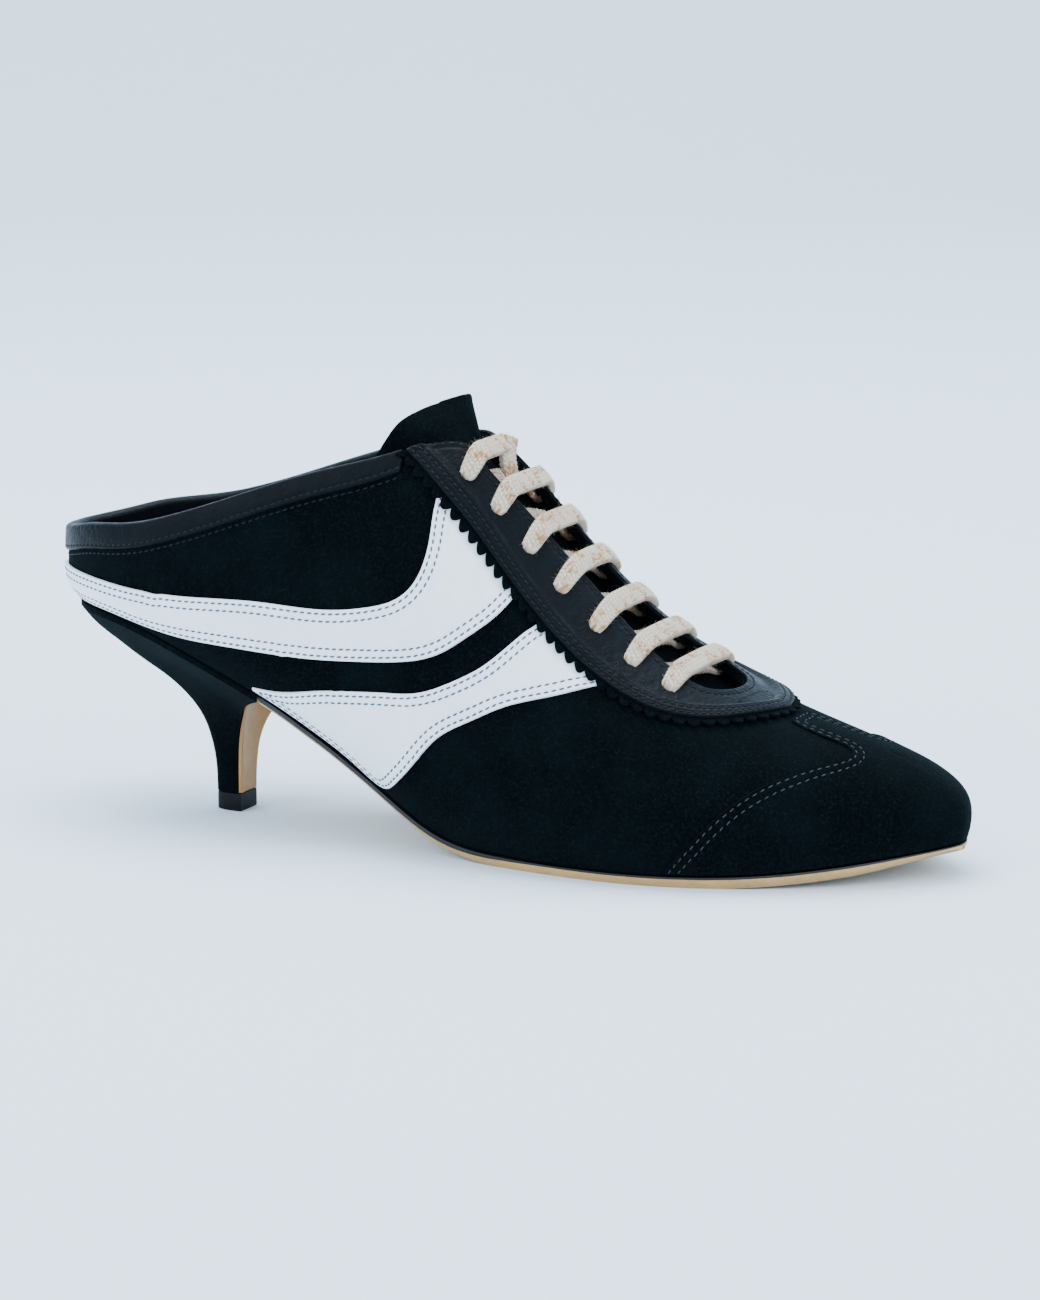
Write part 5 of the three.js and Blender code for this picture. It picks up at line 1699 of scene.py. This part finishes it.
@dataclass
class Bottom:
    """The insole inside the shoe and the outsole under it."""

    insole: float = 2.4
    forefoot: float = 3.0
    bevel: float = 0.9
    toe_bevel: float = 2.3
    waist_margin: float = 0.7
    steps: int = 190

    def insole_edge(self, station: Array, side: float, height: float, inset: float) -> Array:
        """Edge of the insole at a height over the feather line."""
        share = LAST.share(station)
        full = np.arccos(LAST.sections[2](share))
        level = np.clip(1 - height / (LAST.instep_height * LAST.sections[3](share)), 0, 1)
        turn = np.arcsin(np.sin(full) * level)
        return LAST.skin(Places(station, LAST.tuck_share * (1 - turn / full), side), -inset)

    def insole_mesh(self) -> bpy.types.Mesh:
        """The insole with its sock: a slightly crowned pad that turns up at its rim."""
        station = np.linspace(0, 1, self.steps)
        share = (0.5 - 0.5 * np.cos(np.pi * np.linspace(0, 1, 27)))[None, :, None]
        top = mix(self.insole_edge(station, -1.0, self.insole, 0.45)[:, None],
                  self.insole_edge(station, 1.0, self.insole, 0.45)[:, None], share)
        low = mix(self.insole_edge(station, -1.0, 0.0, 2.05)[:, None],
                  self.insole_edge(station, 1.0, 0.0, 2.05)[:, None], share)
        low[..., 2] = BED.height(low[..., 0]) + LAYERS.gap
        rim = np.minimum(share[..., 0], 1 - share[..., 0]) * np.ones((self.steps, 1))
        top[..., 2] += 0.25 * np.exp(-((rim / 0.03) ** 2)) + 0.03 * ripple(top, 18.0, 41)
        top[..., 2] -= rounded(rim * 60, 0.5)
        return walled(top, low, "low high").mesh("insole_sock")

    def outsole_mesh(self) -> bpy.types.Mesh:
        """The outsole: stained side, bevelled edge, hollow rear end against the heel breast."""
        station = np.concatenate([np.linspace(BREAST_STATION, 0.9, 150), np.linspace(0.9, 1, 46)[1:]])
        start = LAST.point(BREAST_STATION, 0.0, -1.0)[0]
        here = LAST.point(station, np.zeros_like(station), -np.ones_like(station))[:, 0]
        fade = (1 - ease(here, start, start + 3 * BREAST_HOLLOW))[:, None]
        front = ease(LAST.share(station), 0.4, 0.62)[:, None]
        thick = mix(SOLE_WAIST, self.forefoot, front)
        thick = thick * mix(1.0, 0.5, ease(LAST.share(station), 0.90, 1.0)[:, None])
        k = np.sin(np.linspace(-np.pi / 2, np.pi / 2, 33))[None, :]
        margin = 0.5 + self.waist_margin * (1 - front) * ease(here, start + 2, start + 14)[:, None]
        top = BED.across(station[:, None], k, BREAST_HOLLOW * fade, margin)
        top[..., 0] += 1.5 * LAYERS.gap * fade
        middle = BED.across(station[:, None], 0 * k, 0 * fade)
        inward = (middle - top) * np.array([1.0, 1.0, 0.0])
        room = np.linalg.norm(inward, axis=-1, keepdims=True)
        toe = ease(LAST.share(station), 0.72, 0.98)[:, None, None]
        move = mix(self.bevel, self.toe_bevel, toe) * np.abs(k)[..., None] ** 8
        move = np.minimum(move, 0.45 * room)
        low = top + unit(inward) * move * (room > 1e-6)
        low[-1, :, 0] -= self.toe_bevel
        low[..., 2] = np.maximum(0.0, top[..., 2] - thick)
        body = Body()
        line = mix(0.72, 0.22, front)
        upper = body.take(top, surface_map(top), level=np.full(top.shape[:2], -1.0),
                          stain_line=np.broadcast_to(line, top.shape[:2]))
        under = body.take(low, surface_map(low), level=np.full(low.shape[:2], 1.3),
                          stain_line=np.zeros(low.shape[:2]))
        body.skin(upper, Zone.FACE)
        body.skin(under, Zone.FACE, flip=True)
        levels = np.linspace(0, 1, 8)
        for column in (0, -1):
            side = mix(top[:, column, None], low[:, column, None], levels[None, :, None])
            bulge = mix(0.22, 0.75, toe) * np.sin(np.pi * levels)[None, :, None] * unit(
                -inward[:, column, None])
            side = side + bulge * (room[:, column, None] > 1e-6)
            index = body.take(side, surface_map(side), level=levels[None, :],
                              stain_line=np.broadcast_to(line, side.shape[:2]))
            body.skin(index, Zone.FACE)
        body.bridge(upper[0], under[0], Zone.FACE)
        return body.mesh("outsole_leather")

    def dress(self, cupboard: Cupboard) -> None:
        """Adds the two pieces."""
        make_piece("insole_sock", self.insole_mesh(), [cupboard.lining] * 3,
                   ["insole"])
        make_piece("outsole_leather", self.outsole_mesh(), [cupboard.sole],
                   ["outsole"])


@dataclass
class Heel:
    """The curved heel with its covered breast and rubber tip."""

    tip_back: float = 38.9
    tip_height: float = 4.6
    tip_length: float = 6.7
    tip_width: float = 8.8
    rim: float = 1.4
    cover: float = 1.0
    cover_margin: float = 0.03
    cover_drop: float = 1.4
    height_steps: int = 74
    side_steps: int = 40
    breast_steps: int = 29
    flares: tuple[NaturalSpline, ...] = field(default_factory=lambda: curves_over(HEEL_LINES))
    seat_line: NaturalSpline = field(default_factory=lambda: NaturalSpline(
        np.linspace(0, 1, len(HEEL_STATIONS)), HEEL_STATIONS))

    def tip_point(self, b: Array, side: float) -> Array:
        """Outline of the tip: b runs from its back to its front corner."""
        turn = b * np.pi / 2
        x = self.tip_back + self.tip_length * (1 - np.maximum(np.cos(turn), 0) ** 0.8)
        return np.stack([x, side * self.tip_width / 2 * np.sin(turn) ** 0.6, 0 * x], -1)

    def breast_x(self, t: Array, y: Array, side: float) -> Array:
        """Front of the heel at a height and at a distance to one side."""
        seat = BED.edge(np.array(BREAST_STATION), side)
        middle = mix(self.tip_back + self.tip_length, seat[0] - BREAST_HOLLOW, self.flares[0](t))
        return middle + BREAST_HOLLOW * (y / seat[1]) ** 2

    def side_point(self, b: Array, side: float, t: Array) -> Array:
        """Points of the heel's side: b runs from back to front, t up from the tip to the seat."""
        b, t = np.broadcast_arrays(b, t)
        seat = BED.edge(np.clip(self.seat_line(b), 0, 1), side)
        tip = self.tip_point(b, side)
        corner = BED.edge(np.array(BREAST_STATION), side)
        back, sides, breast = (flare(t) for flare in self.flares)
        corner_y = mix(side * self.tip_width / 2, corner[1], breast)
        corner_x = mix(self.tip_back + self.tip_length, corner[0], back)
        x = mix(tip[..., 0], seat[..., 0], back)
        x = x + (self.breast_x(t, corner_y, side) - corner_x) * b**3
        y = mix(tip[..., 1], seat[..., 1], mix(sides, breast, b * b))
        z = mix(self.tip_height + LAYERS.gap, seat[..., 2] - self.rim, t)
        return np.stack([x, y, z], -1)

    def breast_point(self, k: Array, t: Array) -> Array:
        """Points of the breast; k runs across it from -1 to 1."""
        k, t = np.broadcast_arrays(k, t)
        seat = BED.across(np.full(k.shape, BREAST_STATION), k, np.full(k.shape, BREAST_HOLLOW))
        corners = [self.side_point(np.ones_like(t), side.value, t) for side in Side]
        y = np.abs(k) * np.where(k < 0, corners[0][..., 1], corners[1][..., 1])
        x = np.where(k < 0, self.breast_x(t, y, -1.0), self.breast_x(t, y, 1.0))
        return np.stack([x, y, mix(self.tip_height + LAYERS.gap, seat[..., 2] - self.rim, t)], -1)

    def block(self) -> bpy.types.Mesh:
        """The heel with its seat."""
        t = np.linspace(0, 1, self.height_steps)[:, None]
        b = np.linspace(0, 1, self.side_steps)
        k = np.linspace(-1, 1, self.breast_steps)
        outer = self.side_point(b[None, ::-1], -1.0, t)
        inner = self.side_point(b[None, 1:], 1.0, t)
        front = self.breast_point(k[None, 1:-1][:, ::-1], t)
        rings = np.concatenate([outer, inner, front], 1)
        rows = BED.across(self.seat_line(b)[:, None].clip(0, 1), k[None, :],
                          BREAST_HOLLOW * b[:, None] ** 2)
        rim = np.concatenate([rows[::-1, 0], rows[1:, -1], rows[-1, 1:-1][::-1]])
        inset = rings[-1] + (rim - rings[-1]) * np.array([1.0, 1.0, 0.8])
        rings = np.concatenate([rings, inset[None], rim[None]])
        body = Body()
        index = body.take(rings, surface_map(rings))
        body.skin(np.concatenate([index, index[:, :1]], 1), Zone.FACE)
        body.polygon(index[0][::-1], Zone.FACE)
        body.skin(body.take(rows), Zone.FACE)
        return body.mesh("heel_block")

    def breast(self) -> bpy.types.Mesh:
        """The leather on the breast, with rounded top corners."""
        share = np.linspace(0, 1, 60)[:, None]
        k = np.linspace(-1, 1, 33)[None, :]
        wide = k * (1 - self.cover_margin)
        seat = BED.across(np.full(k.shape, BREAST_STATION), wide, np.full(k.shape, BREAST_HOLLOW))
        corner = np.clip((np.abs(k) - 0.62) / 0.38, 0, 1)
        drop = self.cover_drop * k * k + 2.2 * (1 - np.sqrt(1 - 0.98 * corner**2))
        top = seat[..., 2] - SOLE_WAIST - LAYERS.gap - drop
        base = self.tip_height + LAYERS.gap
        t = share * (top - base) / (seat[..., 2] - self.rim - base)
        wide = wide + 0 * share
        point = self.breast_point(wide, t)
        along = self.breast_point(wide, t + 0.01) - self.breast_point(wide, t - 0.01)
        across = self.breast_point(wide + 0.01, t) - self.breast_point(wide - 0.01, t)
        normal = unit(np.cross(across, along))
        border = np.concatenate([point[:, 0], point[:, -1], point[-1]])
        reach = distance_to(point, border)
        face = LAYERS.gap + self.cover - rounded(reach, 0.3)
        return walled(point + normal * face[..., None],
                      point + normal * LAYERS.gap).mesh("heel_breast_leather")

    def tip(self) -> bpy.types.Mesh:
        """The rubber tip: bevelled, with a fine parting step below the suede."""
        b = np.linspace(0, 1, 22)
        outline = np.concatenate([self.tip_point(b[::-1], -1.0), self.tip_point(b[1:], 1.0)])
        front = self.tip_back + self.tip_length + LAYERS.gap + self.cover
        share = (outline[:, 0] - self.tip_back) / self.tip_length
        outline[:, 0] = mix(self.tip_back, front, share)
        centre = np.array([(self.tip_back + front) / 2, 0.0, 0.0])
        levels = [(0.0, 0.35), (0.12, 0.12), (0.35, 0.0), (self.tip_height - 0.3, 0.0),
                  (self.tip_height - 0.06, 0.1), (self.tip_height, 0.3)]
        rings = []
        for z, inset in levels:
            ring = outline + unit(centre - outline) * inset
            ring[:, 2] = z
            rings.append(ring)
        body = Body()
        index = body.take(np.array(rings))
        body.skin(np.concatenate([index, index[:, :1]], 1), Zone.FACE)
        for end in (index[0], index[-1]):
            body.polygon(end, Zone.FACE)
        return body.mesh("heel_tip_rubber")

    def dress(self, cupboard: Cupboard) -> None:
        """Adds the three pieces."""
        make_piece("heel_block", self.block(), [cupboard.suede], ["heel"])
        make_piece("heel_breast_leather", self.breast(), [cupboard.breast] * 3,
                   ["heel_breast_cover"])
        make_piece("heel_tip_rubber", self.tip(), [cupboard.rubber], ["heel_tip"],
                   sharp=32.0)


# A place on the lace's way: its point, its broad direction, its width and its thickness.
Knot = tuple[Array, Array, float, float]


@dataclass
class Lace:
    """The flat cotton lace: bars over the throat, slanting runs under the facing."""

    width: float = 5.2
    thick: float = 2.1
    neck: float = 3.1
    neck_thick: float = 2.4
    run_width: float = 4.6
    run_thick: float = 1.5
    arch: float = 0.55
    run_off: float = -1.1
    knot_steps: int = 24
    ring_step: float = 0.25
    ring_count: int = 36
    relief: float = 0.32
    beat: float = 1.3

    def stop(self, station: float, girth: float, side: float, off: float) -> Array:
        """Point on or over the last."""
        return LAST.skin(Places(station, girth, side), off)

    def along(self, station: float, girth: float, side: float) -> Array:
        """Direction towards the toe on the surface."""
        step = 0.004
        return unit(LAST.point(station + step, girth, side) - LAST.point(station - step, girth, side))

    def bar(self, index: int, near: float) -> list[Knot]:
        """Knots of a bar from the hole on the near side to the other."""
        station, girth = HOLES[index]
        rest = LAYERS.facing_top + 0.05 + self.thick / 2
        edge = float(FACING.throat_girth(station))
        knots = []
        marks = [(girth - 0.004, 0.64, 3.8), (mix(girth, edge, 0.5), 0.93, 4.9),
                 (edge, 0.99, self.width)]
        for q, height, width in marks:
            knots.append((self.stop(station, q, near, rest * height), self.along(station, q, near),
                          width, self.thick))
        ends = [self.stop(station, edge, side, rest) for side in (near, -near)]
        crest = LAST.normal(station, 1.0, -1.0)
        for t in (0.2, 0.4, 0.6, 0.8):
            point = mix(ends[0], ends[1], t) + crest * self.arch * 4 * t * (1 - t)
            knots.append((point, self.along(station, 1.0, -1.0), self.width, self.thick))
        for q, height, width in reversed(marks):
            knots.append((self.stop(station, q, -near, rest * height),
                          self.along(station, q, -near), width, self.thick))
        return knots

    def dive(self, index: int, side: float, down: bool) -> list[Knot]:
        """Knots through a hole, from above or from below."""
        station, girth = HOLES[index]
        along = self.along(station, girth, side)
        knots = [(self.stop(station, girth, side, off), along, self.neck, self.neck_thick)
                 for off in (2.1, 0.6)]
        return knots if down else knots[::-1]

    def under(self, index: int) -> list[Knot]:
        """Knots of the slanting run from the outer hole of a pair to the inner hole of the next."""
        (u0, q0), (u1, q1) = HOLES[index], HOLES[index + 1]
        knots = []
        for t in np.linspace(0.07, 0.93, 9):
            turn = q0 + (2 - q1 - q0) * t**1.5
            girth, side = (turn, -1.0) if turn <= 1 else (2 - turn, 1.0)
            station = mix(u0, u1, t**0.6)
            off = self.run_off - 1.2 * float(ease(girth, 0.85, 1.0))
            knots.append((self.stop(station, min(girth, 0.9999), side, off),
                          self.along(station, girth, side), self.run_width, self.run_thick))
        return knots

    def start(self) -> list[Knot]:
        """The tail: from under the second bar up to the fold at the end of the first bar."""
        (u0, _), (u1, _), (u2, _) = HOLES[:3]
        flat, folded = unit(np.array([0.15, 1.0, 0.1])), unit(np.array([0.75, 0.65, -0.35]))
        tail = [(mix(u1, u2, 0.1), 0.985, -1.0, -2.2), (u1 - 0.001, 1.0, -1.0, -2.1),
                (mix(u0, u1, 0.68), 0.985, 1.0, -0.6), (mix(u0, u1, 0.36), 0.955, 1.0, 1.2)]
        fold = self.stop(u0 + 0.002, 0.925, 1.0, LAYERS.facing_top + 0.7)
        return [*((self.stop(*place), flat, 5.2, 1.9) for place in tail), (fold, folded, 5.0, 2.0)]

    def path(self) -> list[Knot]:
        """Knots of all that shows of the lace, from its folded end to the last hole."""
        chain = self.start() + self.bar(0, -1.0)[::-1][3:] + self.dive(0, -1.0, True)
        for i in range(1, len(HOLES)):
            chain += self.under(i - 1) + self.dive(i, 1.0, False)
            chain += self.bar(i, 1.0) + self.dive(i, -1.0, True)
        u, q = HOLES[-1]
        for girth in (q + 0.05, q + 0.11):
            chain.append((self.stop(u - 0.004, girth, -1.0, self.run_off), self.along(u, girth, -1.0),
                          self.run_width, self.run_thick))
        return chain

    def smooth_way(self, knots: list[Knot]) -> Array:
        """A dense line through knots that never swings out where they lie close together.

        Args:
            knots: the knots.

        Returns:
            Rows of a point, a broad direction, a width and a thickness.
        """
        values = np.array([[*point, *broad, width, thick] for point, broad, width, thick in knots])
        gaps = np.sqrt(np.linalg.norm(np.diff(values[:, :3], axis=0), axis=1))
        marks = np.concatenate([[0], np.cumsum(gaps)])
        padded = np.vstack([2 * values[0] - values[1], values, 2 * values[-1] - values[-2]])
        times = np.concatenate([[marks[0] - gaps[0]], marks, [marks[-1] + gaps[-1]]])
        fine = []
        for i in range(1, len(times) - 2):
            span, near = times[i - 1:i + 3], padded[i - 1:i + 3]
            t = np.linspace(span[1], span[2], self.knot_steps, endpoint=False)[:, None]
            for pairs in (((0, 1), (1, 2), (2, 3)), ((0, 2), (1, 3)), ((1, 2),)):
                near = [(span[b] - t) / (span[b] - span[a]) * near[k]
                        + (t - span[a]) / (span[b] - span[a]) * near[k + 1]
                        for k, (a, b) in enumerate(pairs)]
            fine.append(near[0])
        return np.vstack([*fine, values[-1:]])

    def braid(self) -> bpy.types.Mesh:
        """The braided section, swept along the lace's way."""
        dense = self.smooth_way(self.path())
        run = path_lengths(dense[:, :3])
        steps = np.arange(0, run[-1], self.ring_step)
        even = sample(steps, run, dense)
        centre, broad = even[:, :3], even[:, 3:6]
        tangent = unit(np.gradient(centre, axis=0))
        broad = unit(broad - tangent * (broad * tangent).sum(-1, keepdims=True))
        thick = np.cross(broad, tangent)
        turn = np.linspace(0, 2 * np.pi, self.ring_count, endpoint=False)[None, :]
        a = np.sign(np.cos(turn)) * np.abs(np.cos(turn)) ** 0.85
        c = np.sign(np.sin(turn)) * np.abs(np.sin(turn)) ** 0.62
        s = steps[:, None]
        column = np.abs(np.cos(2.5 * np.pi * a)) ** 0.7
        lane = np.round(a * 2.5)
        slant = (a * 2.5 - lane) * np.where(lane % 2 == 0, 1.0, -1.0)
        beat = 0.5 + 0.5 * np.cos(2 * np.pi * (s / self.beat + 0.5 * (lane % 2) + 0.7 * slant))
        relief = self.relief * column * beat
        wide = even[:, 6:7] / 2 * a + relief * np.sign(a) * np.abs(a) ** 3
        high = even[:, 7:8] / 2 * c + relief * np.sign(c) * np.abs(c) ** 0.5
        rings = centre[:, None] + broad[:, None] * wide[..., None] + thick[:, None] * high[..., None]
        uv = np.stack([np.broadcast_to(s, wide.shape), np.broadcast_to(a * 3, wide.shape)], -1)
        body = Body()
        # hollow: depth of each hollow of the braid, 0 on the yarn's crown; the lace material turns it
        # into painted shade.
        index = body.take(rings, uv, hollow=1 - relief / self.relief)
        body.skin(np.concatenate([index, index[:, :1]], 1), Zone.FACE)
        for end in (index[0], index[-1]):
            body.polygon(end, Zone.FACE)
        return body.mesh("lace_braid")

    def dress(self, fuzz: Tree, cupboard: Cupboard) -> None:
        """Adds the lace and its loose fibres."""
        mesh = self.braid()
        made = fuzz.run(mesh.copy(), {"Density": 1.2e6, "Fibre": 1.0 * MM, "Radius": 0.016 * MM,
                                      "Material": cupboard.lace})
        make_piece("lace_braid", mesh, [cupboard.lace],
                   [f"lace_bar_{i + 1}" for i in range(len(HOLES))], sharp=180.0)
        make_piece("lace_fuzz", made, [cupboard.lace], sharp=180.0)


# Studio


@dataclass
class Studio:
    """Pale floor, soft light and the camera at the photograph's angle."""

    azimuth: float = 27.5
    elevation: float = 13.0
    distance: float = 1.275
    aim: tuple[float, float, float] = (0.004, 0.0, 0.047)
    orbit_centre: tuple[float, float, float] = (44.1, 0.0, 0.0)
    lens: float = 138.0
    floor_size: float = 4.0
    bend_start: float = 1.4
    bend_radius: float = 0.8
    sky: Colour = (0.66, 0.83, 1.0)
    sky_strength: float = 1.9
    lights: tuple[tuple, ...] = (
        ("top_softbox", (-0.25, 0.35, 1.5), 1.3, 34.0, (0.94, 0.97, 1.0)),
        ("front_fill", (-0.9, -1.3, 0.9), 1.2, 14.0, (0.95, 0.98, 1.0)),
        ("toe_side", (1.3, -0.3, 0.8), 0.9, 10.0, (0.98, 0.98, 1.0)))

    def floor(self, cupboard: Cupboard) -> None:
        """A floor that curves up into a backdrop far behind the shoe."""
        work = bmesh.new()
        size, radius = self.floor_size, self.bend_radius
        curve = [(self.bend_start + radius * math.sin(a), radius - radius * math.cos(a))
                 for a in np.linspace(0, math.pi / 2, 24)]
        bend = [(-size, 0.0), *curve, (self.bend_start + radius, size)]
        rows = []
        turn = math.radians(self.azimuth)
        direction = np.array([-math.sin(turn), math.cos(turn)])
        across = np.array([direction[1], -direction[0]])
        for reach, height in bend:
            ends = [direction * reach + across * side * size for side in (-1, 1)]
            rows.append([work.verts.new((x, y, height)) for x, y in ends])
        for near, far in zip(rows, rows[1:]):
            work.faces.new((near[0], near[1], far[1], far[0]))
        mesh = bpy.data.meshes.new("studio_floor")
        work.to_mesh(mesh)
        work.free()
        mesh.polygons.foreach_set("use_smooth", np.ones(len(mesh.polygons), bool))
        mesh.materials.append(cupboard.floor)
        floor = bpy.data.objects.new("studio_floor", mesh)
        bpy.context.scene.collection.objects.link(floor)

    def light(self, name: str, place: tuple[float, float, float], size: float, power: float,
              colour: Colour) -> None:
        """A square soft light that looks at the shoe."""
        data = bpy.data.lights.new(name, "AREA")
        data.shape, data.size, data.energy, data.color = "SQUARE", size, power, colour
        lamp = bpy.data.objects.new(name, data)
        lamp.location = place
        away = Vector(place) - Vector((0.0, 0.0, 0.04))
        lamp.rotation_euler = away.to_track_quat("Z", "Y").to_euler()
        bpy.context.scene.collection.objects.link(lamp)

    def camera(self) -> None:
        """The camera, aimed at the middle of the one shoe."""
        a, e = math.radians(self.azimuth), math.radians(self.elevation)
        target = Vector(to_row(np.array(self.orbit_centre)))
        back = Vector((math.sin(a) * math.cos(e), -math.cos(a) * math.cos(e), math.sin(e)))
        data = bpy.data.cameras.new("camera")
        data.lens, data.sensor_width = self.lens, 36.0
        camera = bpy.data.objects.new("camera", data)
        camera.location = target + back * self.distance
        away = camera.location - Vector(self.aim)
        camera.rotation_euler = away.to_track_quat("Z", "Y").to_euler()
        bpy.context.scene.collection.objects.link(camera)
        bpy.context.scene.camera = camera

    def build(self, cupboard: Cupboard) -> None:
        """Sets up the studio."""
        self.floor(cupboard)
        world = bpy.data.worlds.new("studio")
        world.use_nodes = True
        shade = world.node_tree.nodes["Background"]
        shade.inputs["Color"].default_value = rgba(self.sky)
        shade.inputs["Strength"].default_value = self.sky_strength
        bpy.context.scene.world = world
        for light in self.lights:
            self.light(*light)
        self.camera()


def main() -> None:
    """Builds the shoe from the inside out, then the studio."""
    logging.basicConfig(level=logging.INFO, format="%(name)s %(message)s")
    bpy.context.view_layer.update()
    cupboard = Cupboard()
    stitches, fuzz = stitch_tree(), fuzz_tree()
    Upper().dress(cupboard)
    Bottom().dress(cupboard)
    Heel().dress(cupboard)
    Tongue().dress(fuzz, cupboard)
    Bands().dress(stitches, cupboard)
    ToeCap().dress(stitches, cupboard)
    Collar().dress(stitches, cupboard)
    Facing().dress(stitches, cupboard)
    Lace().dress(fuzz, cupboard)
    Studio().build(cupboard)


if __name__ == "__main__":
    main()
